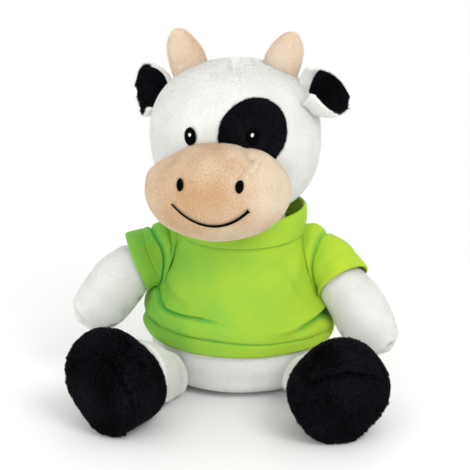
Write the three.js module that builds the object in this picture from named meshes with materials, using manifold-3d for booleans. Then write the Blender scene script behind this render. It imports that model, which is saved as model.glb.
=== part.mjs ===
// A small plush cow that sits on its seat, in millimetres, with +Z up.
// It faces -Y, so +X is the toy's own left. The origin is the middle of the seat.
// Every plush skin is a shell open where it is sewn on, with its stuffing inside.
// The root of each limb is a ball that nests in a dish of the torso, so it can turn.
import * as THREE from 'three';
import Module from 'manifold-3d';

const { cos, sin, abs, sign, sqrt, exp, PI } = Math;
const RIGHT = -1;
const LEFT = 1;
const SIDES = { right: RIGHT, left: LEFT };

// Cloth and gaps
const PLUSH = 2.0;
const KNIT = 1.2;
const SEAM_GAP = 0.3;
const SWEEP_GAP = 0.45;
const FLOOR_FLAT = 0.5;

// Torso: height, half width and half depth of its rings, from the seat to the neck
const TORSO_RINGS = [
  [-0.5, 33, 31],
  [4, 44.8, 41],
  [14, 50.3, 46],
  [31, 51, 46],
  [50, 47, 42],
  [67, 40, 36],
  [81, 33, 30],
  [91, 27, 25.5],
  [99.7, 23.5, 22],
];
const NECK_Z = 100;

// Head, in its own frame, which is turned and leans towards the toy's right
const HEAD_TURN = THREE.MathUtils.degToRad(-7);
const HEAD_LEAN = THREE.MathUtils.degToRad(-3.5);
const HEAD_SHIFT = -3;
const HEAD_CENTRE = new THREE.Vector3(0, 0, 140.5);
const HEAD_HALF = new THREE.Vector3(48, 43, 43.8);
const HEAD_SQUARENESS = 2.4;
const MUZZLE_CENTRE = new THREE.Vector3(-1.9, -45, 123.6);
const MUZZLE_HALF = new THREE.Vector3(40.3, 25, 27);
const EYE = { x: 17, z: 152.9, halfWidth: 3.3, halfHeight: 4.95, glint: 1.15, glintRise: 1.2 };
const EYE_PATCH = { x: 16.5, z: 153.2, halfWidth: 17.8, halfHeight: 19.2 };
const NOSTRIL = { x: 15.9, z: 134.4, halfWidth: 2.1, halfHeight: 3.2 };
const SMILE = { halfWidth: 20.7, lowZ: 111.6, rise: 10.7, thin: 1.3, thick: 1.9, tick: 2.4, tilt: 1.9 };
const EMBROIDERY = 0.8;
const PATCH_THICKNESS = 1.3;

// Horns and ears, in the head's frame, with X outwards on either side
const HORN = { y: 8, baseZ: 173, halfWidth: 10.3, halfDepth: 6.6 };
const HORN_LINES = {
  right: { x: 24.2, tipX: 30, tipZ: 201 },
  left: { x: 24.9, tipX: 32.7, tipZ: 198.3 },
};
const EARS = {
  right: {
    root: new THREE.Vector3(40.2, 5.2, 169.5),
    tip: new THREE.Vector3(57.1, 20, 162.7),
    up: new THREE.Vector3(0.21, 0.21, 0.95),
    radius: 12.5,
    curl: [-120, -88],
  },
  left: {
    root: new THREE.Vector3(40.1, 0, 168.4),
    tip: new THREE.Vector3(61.4, 11, 157.2),
    up: new THREE.Vector3(0.15, 0.55, 0.82),
    radius: 11.1,
    curl: [-142, -99],
  },
};
const EAR_ROOT_RADIUS = 4;
const EAR_TOP_ANGLE = 62;
const EAR_CLOTH = 1.2;
const EAR_CLEARANCE = 0.6;
const EAR_FLOP = [-15, 0, 15];

// Arms: shoulder pivots, the middle of each rounded paw, and the arm's half thickness
const SHOULDER = new THREE.Vector3(40, -2, 73);
const PAW = { right: new THREE.Vector3(-79.5, -18, 45), left: new THREE.Vector3(75.5, -18, 34.5) };
const ARM_BOW = { right: 6.5, left: 4.5 };
const ARM_RINGS = [
  [0, 12.8],
  [0.25, 12.9],
  [0.45, 13.6],
  [0.7, 15.7],
  [0.85, 16.1],
  [1, 14.8],
  [1.12, 12.9],
  [1.22, 8.8],
];
const PAW_STARTS = 0.85;
const PAW_ENDS = 1.28;
const SHOULDER_BALL = 13;
const DISC_EASE = 0.15;

// Legs: hip pivots, ankles, how far each foot turns out, and the leg's half thickness
const HIP = new THREE.Vector3(37, -33, 13.5);
const HIP_BALL = 14;
const ANKLE = { right: new THREE.Vector2(-52, -65), left: new THREE.Vector2(52.4, -64) };
const TOE_OUT = { right: THREE.MathUtils.degToRad(30), left: THREE.MathUtils.degToRad(14) };
const LEG_RINGS = [
  [0, 13.7],
  [0.35, 17.2],
  [0.7, 19.2],
  [1, 19.6],
  [1.3, 19.8],
];
const BOOT_RINGS = [
  [0, 19.6],
  [6, 23.6],
  [14, 26.8],
  [23, 28],
  [30, 26.6],
  [34, 22.8],
];
const SOLE_RING = [36.6, 13];
const SOLE_TIP = 37.4;
const SOLE_SEAM = 31.5;
const LEG_SWING = { down: -30, up: 15 };

// Shirt: height, half width and half depth of its outside, from the hem to the neck seam
const SHIRT_RINGS = [
  [27.5, 54, 48.4],
  [35, 54.4, 49],
  [45, 51.6, 46.2],
  [57, 47, 42],
  [67, 42.8, 38.8],
  [77, 38.6, 35.6],
  [85.7, 34.8, 33.2],
];
const HEM_HEIGHT = 6;
const HEM_FOLD = 0.6;
const ROLL_Z = 40;
const ROLL_HEIGHT = 4;
const ROLL_CREASE = 8.5;
// Sleeve rings: share of the way to the cuff, half depth, half height, share of the lean
// and how far the ring's middle lies above the arm's
const CUFF = { right: 0.43, left: 0.55 };
const SLEEVE_RINGS = [
  [-0.75, 19.5, 17.5, 0, 1],
  [0, 18.7, 16.8, 0, 2.5],
  [0.5, 17.9, 17.4, 0.6, 1.5],
  [1, 18.8, 18.4, 1, 0.3],
];
const CUFF_LEAN = { right: THREE.MathUtils.degToRad(17), left: THREE.MathUtils.degToRad(42) };
const COLLAR = { bottom: 86, backTop: 102.4, frontDrop: 9.5, halfWidth: 34.8, halfDepth: 33.2 };
const COLLAR_FLARE = 1.6;
const COLLAR_WALL = 1.8;

// Tail: a short plush strip with a tuft, sewn low on the back
const TAIL_ROOT = new THREE.Vector3(0, 45, 15);
const TAIL_BEND = new THREE.Vector3(1.5, 53, 12.5);
const TAIL_END = new THREE.Vector3(6, 60, 8);
const TAIL_RADIUS = 3;
const TUFT_END = new THREE.Vector3(12, 66, 6.3);
const TUFT_RADIUS = 5.4;
const TAIL_CLEARANCE = 2.3;

const COLOURS = {
  white: ['#eceeeb', 0.95],
  black: ['#0b0b0f', 0.9],
  peach: ['#eccba8', 0.9],
  lime: ['#a6d03a', 0.85],
  thread: ['#101014', 0.5],
  glint: ['#f6f6f4', 0.5],
  stuffing: ['#f4f4f2', 1.0],
};

const wasm = await Module();
wasm.setup();

const FAR = 400;

// Basic solids

function solid(points, triangles) {
  let volume = 0;
  for (let i = 0; i < triangles.length; i += 3) {
    const [a, b, c] = triangles.slice(i, i + 3).map((k) => points[k]);
    volume += a.dot(b.clone().cross(c));
  }
  if (volume < 0) {
    triangles.reverse();
  }
  const vertProperties = new Float32Array(points.flatMap((p) => [p.x, p.y, p.z]));
  const triVerts = new Uint32Array(triangles);
  return new wasm.Manifold(new wasm.Mesh({ numProp: 3, vertProperties, triVerts }));
}

function middle(ring) {
  const sum = ring.reduce((total, p) => total.add(p), new THREE.Vector3());
  return sum.divideScalar(ring.length);
}

// The walls between a row of rings that all have the same number of points
function walls(rings) {
  const sides = rings[0].length;
  const end = (rings.length - 1) * sides;
  const triangles = [];
  for (let s = 0; s < sides; s++) {
    const next = (s + 1) % sides;
    for (let r = 0; r < end; r += sides) {
      triangles.push(r + s, r + next, r + sides + next);
      triangles.push(r + s, r + sides + next, r + sides + s);
    }
  }
  return triangles;
}

// A closed body through a row of rings, with each end closed by a fan to a tip
function loft(rings, firstTip = middle(rings[0]), lastTip = middle(rings.at(-1))) {
  const sides = rings[0].length;
  const first = rings.length * sides;
  const last = first + 1;
  const end = first - sides;
  const triangles = walls(rings);
  for (let s = 0; s < sides; s++) {
    const next = (s + 1) % sides;
    triangles.push(first, next, s);
    triangles.push(last, end + s, end + next);
  }
  return solid([...rings.flat(), firstTip, lastTip], triangles);
}

// A closed body through rings that are bent strips: half their points go out, half come back
function loftStrips(rings) {
  const sides = rings[0].length;
  const end = (rings.length - 1) * sides;
  const triangles = walls(rings);
  for (let k = 0; k < sides / 2 - 1; k++) {
    const back = sides - 1 - k;
    triangles.push(k + 1, k, back, k + 1, back, back - 1);
    triangles.push(end + k, end + k + 1, end + back, end + k + 1, end + back - 1, end + back);
  }
  return solid(rings.flat(), triangles);
}

// A ring of points about a centre, square to a direction that isn't upright
function ringAcross(centre, direction, radius, sides, squash = 1) {
  const across = new THREE.Vector3().crossVectors(direction, new THREE.Vector3(0, 0, 1)).normalize();
  const up = new THREE.Vector3().crossVectors(across, direction).normalize();
  return Array.from({ length: sides }, (_, k) => {
    const angle = (2 * PI * k) / sides;
    return centre
      .clone()
      .addScaledVector(across, radius * cos(angle))
      .addScaledVector(up, radius * squash * sin(angle));
  });
}

// A squarish ellipsoid: squareness 2 is a true one, and more makes it fuller
function puff(centre, half, squareness, columns, rows) {
  const rings = [];
  for (let r = 1; r < rows; r++) {
    const tilt = PI * (r / rows - 0.5);
    const rise = sign(sin(tilt)) * abs(sin(tilt)) ** (2 / squareness);
    const spread = cos(tilt) ** (2 / squareness);
    rings.push(
      Array.from({ length: columns }, (_, c) => {
        const turn = (2 * PI * c) / columns;
        const point = new THREE.Vector3(spread * cos(turn), spread * sin(turn), rise);
        return point.multiply(half).add(centre);
      }),
    );
  }
  const pole = new THREE.Vector3(0, 0, half.z);
  return loft(rings, centre.clone().sub(pole), centre.clone().add(pole));
}

const BALL_SIDES = 12;

function ball(centre, radius, columns = BALL_SIDES) {
  return puff(centre, new THREE.Vector3(radius, radius, radius), 2, columns, columns / 2);
}

// The smallest ball of flat faces that stays outside a turning ball, with a gap
function ballRound(centre, radius, gap) {
  return ball(centre, (radius + gap) / cos(PI / BALL_SIDES) ** 2);
}

// A block between two corners, for cutting planes
function block(low, high) {
  const corners = [];
  for (const z of [low.z, high.z]) {
    corners.push([low.x, low.y, z], [high.x, low.y, z], [high.x, high.y, z], [low.x, high.y, z]);
  }
  const rings = [corners.slice(0, 4), corners.slice(4)];
  return loft(rings.map((ring) => ring.map((p) => new THREE.Vector3(...p))));
}

const underFloor = block(new THREE.Vector3(-FAR, -FAR, -FAR), new THREE.Vector3(FAR, FAR, 0));

function slabBelow(z) {
  return block(new THREE.Vector3(-FAR, -FAR, -FAR), new THREE.Vector3(FAR, FAR, z));
}

function slabAbove(z) {
  return block(new THREE.Vector3(-FAR, -FAR, z), new THREE.Vector3(FAR, FAR, FAR));
}

// An upright outline in X and Z, drawn from in front of the toy back to a depth
function frontPrism(outline, depth) {
  return loft([-FAR, depth].map((y) => outline.map(([x, z]) => new THREE.Vector3(x, y, z))));
}

function ovalOutline({ x, z, halfWidth, halfHeight }, steps) {
  return Array.from({ length: steps }, (_, k) => {
    const angle = (2 * PI * k) / steps;
    return [x + halfWidth * cos(angle), z + halfHeight * sin(angle)];
  });
}

function turned(shape, pivot, axis, degrees) {
  const turn = new THREE.Matrix4().makeRotationAxis(axis, THREE.MathUtils.degToRad(degrees));
  const there = new THREE.Matrix4().makeTranslation(pivot);
  const back = new THREE.Matrix4().makeTranslation(pivot.clone().negate());
  return shape.transform(there.multiply(turn).multiply(back).elements);
}

// Everywhere a still body reaches, as seen from a limb that turns to each of these angles
function seenFromLimb(still, pivot, angles) {
  const lateral = new THREE.Vector3(1, 0, 0);
  return angles.map((degrees) => turned(still, pivot, lateral, degrees)).reduce((all, one) => all.add(one));
}

// Scene graph

const cow = new THREE.Group();
cow.name = 'cow';
const headGroup = new THREE.Group();
headGroup.rotation.set(0, HEAD_LEAN, HEAD_TURN, 'ZYX');
headGroup.position.copy(HEAD_CENTRE).sub(HEAD_CENTRE.clone().applyEuler(headGroup.rotation));
headGroup.position.x += HEAD_SHIFT;
headGroup.updateMatrix();
cow.add(headGroup);

function addPiece(parent, name, shape, colour) {
  const { vertProperties, triVerts } = shape.getMesh();
  const geometry = new THREE.BufferGeometry();
  geometry.setAttribute('position', new THREE.BufferAttribute(new Float32Array(vertProperties), 3));
  geometry.setIndex(new THREE.BufferAttribute(new Uint32Array(triVerts), 1));
  geometry.computeVertexNormals();
  const [tone, roughness] = COLOURS[colour];
  const material = new THREE.MeshStandardMaterial({ color: tone, roughness, metalness: 0 });
  const mesh = new THREE.Mesh(geometry, material);
  mesh.name = name;
  parent.add(mesh);
}

// Smooth sizes between the rings of a profile
function profile(rows) {
  const width = rows[0].length - 1;
  const heights = rows.map((row) => row[0]);
  const values = rows.flatMap((row) => row.slice(1));
  const curve = new THREE.CubicInterpolant(heights, values, width);
  return (height) => Array.from(curve.evaluate(height));
}

// Torso

const torsoAt = profile(TORSO_RINGS);

function torsoForm(grow, low, high, columns, rows) {
  const rings = [];
  for (let r = 0; r <= rows; r++) {
    const z = low + (high - low) * (r / rows) ** 1.25;
    const [halfWidth, halfDepth] = torsoAt(z);
    rings.push(
      Array.from({ length: columns }, (_, c) => {
        const turn = (2 * PI * c) / columns;
        return new THREE.Vector3((halfWidth + grow) * cos(turn), (halfDepth + grow) * sin(turn), z);
      }),
    );
  }
  return loft(rings);
}

const neckTop = NECK_Z - SEAM_GAP;
const torsoOutside = torsoForm(0, -FLOOR_FLAT, neckTop, 22, 9).subtract(underFloor);
const torsoInside = torsoForm(-PLUSH, -FLOOR_FLAT, neckTop + 4, 12, 6).subtract(slabBelow(PLUSH));
const torsoFilling = torsoForm(-PLUSH - SEAM_GAP, -FLOOR_FLAT, neckTop + 4, 12, 6)
  .subtract(slabBelow(PLUSH + SEAM_GAP))
  .subtract(slabAbove(neckTop - SEAM_GAP));

function onSide(point, side) {
  return new THREE.Vector3(point.x * side, point.y, point.z);
}

// The dishes that the four limb balls nest in, each larger than its ball by a gap
function dishes(gap) {
  const balls = Object.values(SIDES).flatMap((side) => [
    ballRound(onSide(SHOULDER, side), SHOULDER_BALL, gap),
    ballRound(onSide(HIP, side), HIP_BALL, gap),
  ]);
  return balls.reduce((all, one) => all.add(one));
}

const torsoHollow = torsoInside.subtract(dishes(SEAM_GAP + PLUSH));
addPiece(cow, 'torso_skin', torsoOutside.subtract(dishes(SEAM_GAP)).subtract(torsoHollow), 'white');
addPiece(cow, 'torso_stuffing', torsoFilling.subtract(dishes(2 * SEAM_GAP + PLUSH)), 'stuffing');

// Head

function headForm(grow, columns = 24, rows = 12) {
  const half = HEAD_HALF.clone().addScalar(grow);
  return puff(HEAD_CENTRE, half, HEAD_SQUARENESS, columns, rows);
}

function muzzleForm(grow, columns = 20, rows = 10) {
  return puff(MUZZLE_CENTRE, MUZZLE_HALF.clone().addScalar(grow), 2, columns, rows);
}

const headOutside = headForm(0);
const headBehindMuzzle = headForm(SEAM_GAP);
const headInside = headForm(-PLUSH, 12, 6);
const headFilling = headForm(-PLUSH - SEAM_GAP, 12, 6);

// The head ends at a level plane on the neck, which its own frame sees at a slant
function belowNeck(gap) {
  return slabBelow(NECK_Z + gap).transform(headGroup.matrix.clone().invert().elements);
}

addPiece(headGroup, 'head_skin', headOutside.subtract(headInside).subtract(belowNeck(0)), 'white');
addPiece(headGroup, 'head_stuffing', headFilling.subtract(belowNeck(SEAM_GAP)), 'stuffing');

const muzzleSkin = muzzleForm(0).subtract(muzzleForm(-PLUSH, 12, 6)).subtract(headBehindMuzzle);
const muzzleFilling = muzzleForm(-PLUSH - SEAM_GAP, 12, 6).subtract(headBehindMuzzle);
addPiece(headGroup, 'muzzle_skin', muzzleSkin, 'peach');
addPiece(headGroup, 'muzzle_stuffing', muzzleFilling, 'stuffing');

// A thin layer that lies on the front of a form, inside an outline seen from the front
function layer(form, from, to, outline) {
  const depth = form === muzzleForm ? MUZZLE_CENTRE.y : HEAD_CENTRE.y - HEAD_HALF.y / 4;
  return form(to).intersect(frontPrism(outline, depth)).subtract(form(from));
}

const patchTop = SEAM_GAP + PATCH_THICKNESS;
const eyePatch = layer(headForm, SEAM_GAP, patchTop, ovalOutline(EYE_PATCH, 26));
addPiece(headGroup, 'eye_patch', eyePatch.subtract(muzzleForm(SEAM_GAP)), 'black');

for (const [name, side] of Object.entries(SIDES)) {
  const under = side === LEFT ? patchTop : 0;
  const low = under + SEAM_GAP;
  const high = low + EMBROIDERY;
  const oval = { ...EYE, x: EYE.x * side };
  const glint = {
    x: oval.x,
    z: EYE.z + EYE.glintRise,
    halfWidth: EYE.glint,
    halfHeight: EYE.glint,
  };
  addPiece(headGroup, `eye_${name}`, layer(headForm, low, high, ovalOutline(oval, 16)), 'thread');
  const spark = layer(headForm, high + SEAM_GAP, high + SEAM_GAP + EMBROIDERY / 2, ovalOutline(glint, 10));
  addPiece(headGroup, `eye_glint_${name}`, spark, 'glint');
  const nostrilX = MUZZLE_CENTRE.x + NOSTRIL.x * side;
  const nostrilOval = ovalOutline({ ...NOSTRIL, x: nostrilX }, 14);
  const nostril = layer(muzzleForm, SEAM_GAP, SEAM_GAP + EMBROIDERY, nostrilOval);
  addPiece(headGroup, `nostril_${name}`, nostril, 'thread');
}

// The smile is one curved line that thickens towards the toy's left and ends in a tick
function smileOutline() {
  const steps = 14;
  const upper = [];
  const lower = [];
  for (let k = 0; k <= steps; k++) {
    const along = (2 * k) / steps - 1;
    const thickness = THREE.MathUtils.lerp(SMILE.thin, SMILE.thick, k / steps);
    const x = MUZZLE_CENTRE.x + SMILE.halfWidth * along;
    const z = SMILE.lowZ + SMILE.rise * along ** 2 - SMILE.tilt * along;
    upper.push([x, z + thickness / 2]);
    lower.push([x, z - thickness / 2]);
  }
  upper.at(-1)[1] += SMILE.tick / 2;
  lower.at(-1)[0] += SMILE.tick / 2;
  return [...lower, ...upper.reverse()];
}

addPiece(headGroup, 'smile', layer(muzzleForm, SEAM_GAP, SEAM_GAP + EMBROIDERY, smileOutline()), 'thread');

// Horns: flattened lobes that swell above their base and lean outwards
function hornForm(grow, name) {
  const side = SIDES[name];
  const { x: baseX, tipX, tipZ } = HORN_LINES[name];
  const steps = 5;
  const rings = [];
  const sides = 10;
  for (let k = 0; k <= steps; k++) {
    const rise = (k / steps) * 0.97;
    const swell = sqrt(1 - rise ** 2.6) * (1 + 0.375 * rise * (1 - rise));
    const lean = rise * (tipX - baseX);
    const z = HORN.baseZ + rise * (tipZ + grow - HORN.baseZ);
    const width = Math.max(HORN.halfWidth * swell + grow, 0.6);
    const depth = Math.max(HORN.halfDepth * swell + grow, 0.5);
    rings.push(
      Array.from({ length: sides }, (_, c) => {
        const turn = (2 * PI * c) / sides;
        const x = (baseX + lean) * side + width * cos(turn);
        return new THREE.Vector3(x, HORN.y + depth * sin(turn), z);
      }),
    );
  }
  const tip = middle(rings.at(-1)).setZ(tipZ + grow);
  return loft(rings, undefined, tip);
}

for (const name of Object.keys(SIDES)) {
  const skin = hornForm(0, name).subtract(hornForm(-PLUSH, name)).subtract(headForm(SEAM_GAP));
  const filling = hornForm(-PLUSH - SEAM_GAP, name).subtract(headForm(2 * SEAM_GAP));
  addPiece(headGroup, `horn_${name}_skin`, skin, 'peach');
  addPiece(headGroup, `horn_${name}_stuffing`, filling, 'stuffing');
}

// Ears: a leaf of two cloths, curled about its length so that its lower rim turns forward.
// The curl is tight at the root and opens towards the tip.
function earSheet(name, inner, outer, firstStep) {
  const { root, tip, up: rimward, radius: fullRadius, curl } = EARS[name];
  const along = tip.clone().sub(root);
  const axis = along.clone().normalize();
  const up = rimward.clone().addScaledVector(axis, -rimward.dot(axis)).normalize();
  const forward = new THREE.Vector3().crossVectors(axis, up).normalize();
  const lengths = 8;
  const turns = 6;
  const rings = [];
  for (let r = firstStep; r <= lengths; r++) {
    const t = r / lengths;
    const open = sin(PI * Math.min(0.16 + t * 0.84, 0.97)) ** 0.62;
    const radius = EAR_ROOT_RADIUS + (fullRadius - EAR_ROOT_RADIUS) * open * (1 - 0.25 * t);
    const lowRim = THREE.MathUtils.lerp(curl[0], curl[1], t ** 0.8);
    const taper = 1 - 0.55 * t ** 5;
    const ring = [];
    for (const [depth, way] of [[inner, 1], [outer, -1]]) {
      for (let k = 0; k <= turns; k++) {
        const share = way > 0 ? k / turns : 1 - k / turns;
        const angle = THREE.MathUtils.degToRad(THREE.MathUtils.lerp(lowRim, EAR_TOP_ANGLE, share) * taper);
        const reach = radius + depth;
        const point = root
          .clone()
          .addScaledVector(along, t)
          .addScaledVector(up, reach * sin(angle))
          .addScaledVector(forward, fullRadius * 0.6 - reach * cos(angle));
        ring.push(onSide(point, SIDES[name]));
      }
    }
    rings.push(ring);
  }
  return loftStrips(rings);
}

// Where the head is, seen from an ear at rest and at either end of its flop
function earKeepOut(name) {
  const root = onSide(EARS[name].root, SIDES[name]);
  const hinge = onSide(EARS[name].up, SIDES[name]).normalize();
  return EAR_FLOP.map((degrees) => turned(headForm(EAR_CLEARANCE), root, hinge, degrees)).reduce(
    (all, one) => all.add(one),
  );
}

for (const name of Object.keys(SIDES)) {
  const clear = earKeepOut(name);
  const lining = earSheet(name, 0, EAR_CLOTH, 2);
  const shell = earSheet(name, EAR_CLOTH + SWEEP_GAP, 2 * EAR_CLOTH + SWEEP_GAP, 0);
  addPiece(headGroup, `ear_${name}_lining`, lining.subtract(clear), 'black');
  addPiece(headGroup, `ear_${name}_shell`, shell.subtract(clear), 'white');
}

// Shirt

const shirtAt = profile(SHIRT_RINGS);

// The roll of cloth above the hem is fullest at the toy's right and crosses the front
function shirtFold(turn, z) {
  const rightness = (1 - cos(turn)) / 2;
  const front = Math.max(0, -sin(turn));
  const fullness = 0.7 + 1.9 * rightness ** 3 + 0.6 * front;
  const roll = fullness * exp(-(((z - ROLL_Z) / ROLL_HEIGHT) ** 2));
  const crease = 0.35 * fullness * exp(-(((z - ROLL_Z - ROLL_CREASE) / ROLL_HEIGHT) ** 2));
  const hem = z < SHIRT_RINGS[0][0] + HEM_HEIGHT ? HEM_FOLD : 0;
  return roll - crease + hem;
}

function shirtForm(grow, spare = 0) {
  const [low, high] = [SHIRT_RINGS[0][0], SHIRT_RINGS.at(-1)[0]];
  const heights = [0, 5.9, 6.1, 9, 12.5, 16, 20, 26, 40, high - low];
  const rings = heights.map((height, k) => {
    const z = low + height;
    const overrun = k === 0 ? -spare : k === heights.length - 1 ? spare : 0;
    const [halfWidth, halfDepth] = shirtAt(z);
    return Array.from({ length: 28 }, (_, c) => {
      const turn = (2 * PI * c) / 28;
      const fold = shirtFold(turn, z) + grow;
      return new THREE.Vector3((halfWidth + fold) * cos(turn), (halfDepth + fold) * sin(turn), z + overrun);
    });
  });
  return loft(rings);
}

// Arms and sleeves share one line from the shoulder to the paw, which bows upwards
function armPoint(name, share) {
  const start = onSide(SHOULDER, SIDES[name]);
  const point = start.clone().lerp(PAW[name], share);
  const onArm = THREE.MathUtils.clamp(share, 0, 1);
  point.z += ARM_BOW[name] * (4 * onArm * (1 - onArm)) ** 2;
  return point;
}

function armDirection(name) {
  return PAW[name].clone().sub(onSide(SHOULDER, SIDES[name])).normalize();
}

// A dished disc about the shoulder's axis that reaches out as far as the shirt does there,
// at every distance from the axis, so an arm cut by it never meets the shirt as it turns
function shoulderDisc(side, grow) {
  const sides = 18;
  const ringAt = (x, radius) => {
    const centre = new THREE.Vector3(x * side, SHOULDER.y, SHOULDER.z);
    return ringAcross(centre, new THREE.Vector3(1, 0, 0), radius / cos(PI / sides), sides);
  };
  const distances = [48, 38, 33, 29, 24, 18, SHOULDER_BALL];
  const dish = distances.map((distance) => {
    const z = Math.max(SHOULDER.z - distance, SHIRT_RINGS[1][0]);
    const width = shirtAt(z)[0] + shirtFold(side === LEFT ? 0 : PI, z);
    return ringAt(width + SWEEP_GAP + DISC_EASE + grow, distance);
  });
  return loft([ringAt(0, distances[0]), ...dish]);
}

function armForm(name, grow, sides) {
  const side = SIDES[name];
  const direction = armDirection(name);
  const rings = ARM_RINGS.map(([share, radius]) => {
    const rounding = THREE.MathUtils.smoothstep(share, PAW_STARTS, PAW_ENDS);
    const centre = armPoint(name, share).addScaledVector(direction, grow * rounding);
    return ringAcross(centre, direction, radius + grow, sides);
  });
  const tip = armPoint(name, PAW_ENDS).addScaledVector(direction, grow);
  const limb = loft(rings, undefined, tip).subtract(shoulderDisc(side, -grow));
  return limb.add(ball(onSide(SHOULDER, side), SHOULDER_BALL + grow));
}

// The sleeve's rings stand nearly upright, like a shirt's, while the arm slopes through them
function sleeveForm(name, grow, overrun = 0) {
  const side = SIDES[name];
  const sides = 18;
  const rings = SLEEVE_RINGS.map(([share, halfDepth, halfHeight, lean, lift], k) => {
    const past = k === SLEEVE_RINGS.length - 1 ? overrun : 0;
    const centre = armPoint(name, share * CUFF[name]);
    centre.z = (share < 0 ? SHOULDER.z : centre.z) + lift;
    centre.x += past * side;
    return Array.from({ length: sides }, (_, c) => {
      const angle = (2 * PI * c) / sides;
      const rise = (halfHeight + grow) * sin(angle);
      const depth = (halfDepth + grow) * cos(angle);
      const tilt = lean * CUFF_LEAN[name];
      return centre.clone().add(new THREE.Vector3(rise * sin(tilt) * side, depth, rise * cos(tilt)));
    });
  });
  return loft(rings);
}

const shirtShell = shirtForm(0).subtract(shirtForm(-KNIT, 1));
const armholes = sleeveForm('right', -KNIT, 20).add(sleeveForm('left', -KNIT, 20));
const panels = shirtShell.subtract(armholes).subtract(dishes(SWEEP_GAP));
const frontHalf = block(new THREE.Vector3(-FAR, -FAR, -FAR), new THREE.Vector3(FAR, -SEAM_GAP / 2, FAR));
const backHalf = block(new THREE.Vector3(-FAR, SEAM_GAP / 2, -FAR), new THREE.Vector3(FAR, FAR, FAR));
addPiece(cow, 'shirt_front', panels.intersect(frontHalf), 'lime');
addPiece(cow, 'shirt_back', panels.intersect(backHalf), 'lime');

// The collar stands up round the chin, low in front and high behind
function collarForm(grow, overrun) {
  const rows = 2;
  const rings = [];
  for (let r = 0; r <= rows; r++) {
    const share = r / rows;
    const spare = r === 0 ? -overrun : r === rows ? overrun : 0;
    rings.push(
      Array.from({ length: 28 }, (_, c) => {
        const turn = (2 * PI * c) / 28;
        const front = Math.max(0, -sin(turn)) ** 2;
        const top = COLLAR.backTop - COLLAR.frontDrop * front;
        const z = THREE.MathUtils.lerp(COLLAR.bottom, top, share) + spare;
        const halfWidth = COLLAR.halfWidth + grow + COLLAR_FLARE * share;
        const halfDepth = COLLAR.halfDepth + grow + COLLAR_FLARE * share;
        return new THREE.Vector3(halfWidth * cos(turn), halfDepth * sin(turn), z);
      }),
    );
  }
  return loft(rings);
}

addPiece(cow, 'shirt_collar', collarForm(0, 0).subtract(collarForm(-COLLAR_WALL, 1)), 'lime');

const shirtKeepOut = shirtForm(SEAM_GAP, SEAM_GAP).add(collarForm(SEAM_GAP, SEAM_GAP));
for (const name of Object.keys(SIDES)) {
  const sleeve = sleeveForm(name, 0).subtract(sleeveForm(name, -KNIT, 1)).subtract(shirtKeepOut);
  addPiece(cow, `sleeve_${name}`, sleeve, 'lime');
}

for (const [name, side] of Object.entries(SIDES)) {
  const shoulder = onSide(SHOULDER, side);
  const direction = armDirection(name);
  const rootHole = loft([
    ringAcross(shoulder, direction, 7, 8),
    ringAcross(shoulder.clone().addScaledVector(direction, -SHOULDER_BALL - 2), direction, 7, 8),
  ]);
  const skin = armForm(name, 0, 14).subtract(armForm(name, -PLUSH, 10)).subtract(rootHole);
  const filling = armForm(name, -PLUSH - SEAM_GAP, 10);
  addPiece(cow, `arm_${name}_skin`, skin, 'white');
  addPiece(cow, `arm_${name}_stuffing`, filling, 'stuffing');
}

// Legs and boots lie on the floor, so each ring's centre is as high as its radius
function legRings(name, grow, sides) {
  const side = SIDES[name];
  const hip = onSide(HIP, side);
  const ankle = new THREE.Vector3(ANKLE[name].x, ANKLE[name].y, 0);
  const flat = ankle.clone().sub(hip).setZ(0);
  const direction = flat.clone().normalize();
  return LEG_RINGS.map(([share, radius]) => {
    const centre = hip.clone().addScaledVector(flat, share).setZ(radius - FLOOR_FLAT);
    return ringAcross(centre, direction, radius + grow, sides);
  });
}

function footDirection(name) {
  const side = SIDES[name];
  return new THREE.Vector3(side * sin(TOE_OUT[name]), -cos(TOE_OUT[name]), 0);
}

function footPoint(name, reach, radius) {
  const ankle = new THREE.Vector3(ANKLE[name].x, ANKLE[name].y, radius - FLOOR_FLAT);
  return ankle.addScaledVector(footDirection(name), reach);
}

function bootForm(name, grow, sides) {
  const direction = footDirection(name);
  const rings = BOOT_RINGS.map(([reach, radius]) => {
    return ringAcross(footPoint(name, reach, radius), direction, radius + grow, sides);
  });
  const height = BOOT_RINGS.at(-1)[1];
  const [soleReach, soleRadius] = SOLE_RING;
  rings.push(ringAcross(footPoint(name, soleReach + grow, height), direction, soleRadius, sides));
  return loft(rings, undefined, footPoint(name, SOLE_TIP + grow, height));
}

function legForm(name, grow, sides) {
  return loft(legRings(name, grow, sides)).add(ball(onSide(HIP, SIDES[name]), HIP_BALL + grow));
}

// A half space in front of a foot's cutting plane
function beyondFoot(name, reach) {
  const direction = footDirection(name);
  const start = footPoint(name, reach, 0);
  const end = start.clone().addScaledVector(direction, FAR);
  return loft([ringAcross(start, direction, FAR, 4), ringAcross(end, direction, FAR, 4)]);
}

// Where the torso and the shirt are, seen from a leg at rest and at steps of its swing
function hipKeepOut(name, grow) {
  const hip = onSide(HIP, SIDES[name]);
  const coarse = 14;
  const spare = SWEEP_GAP + TORSO_RINGS[3][1] * (1 - cos(PI / coarse)) + grow;
  const hemZ = SHIRT_RINGS[0][0] - SWEEP_GAP - grow;
  const shirtEase = SHIRT_RINGS[0][1] - TORSO_RINGS[3][1] + HEM_FOLD;
  const torso = torsoForm(spare, -FLOOR_FLAT, hemZ + 1, coarse, 2);
  const shirt = torsoForm(spare + shirtEase + 2, hemZ, hemZ + 22, coarse, 1);
  const { down, up } = LEG_SWING;
  const seen = seenFromLimb(torso.add(shirt), hip, [down, 0, up]);
  return seen.subtract(ball(hip, HIP_BALL + 0.15 - grow));
}

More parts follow.
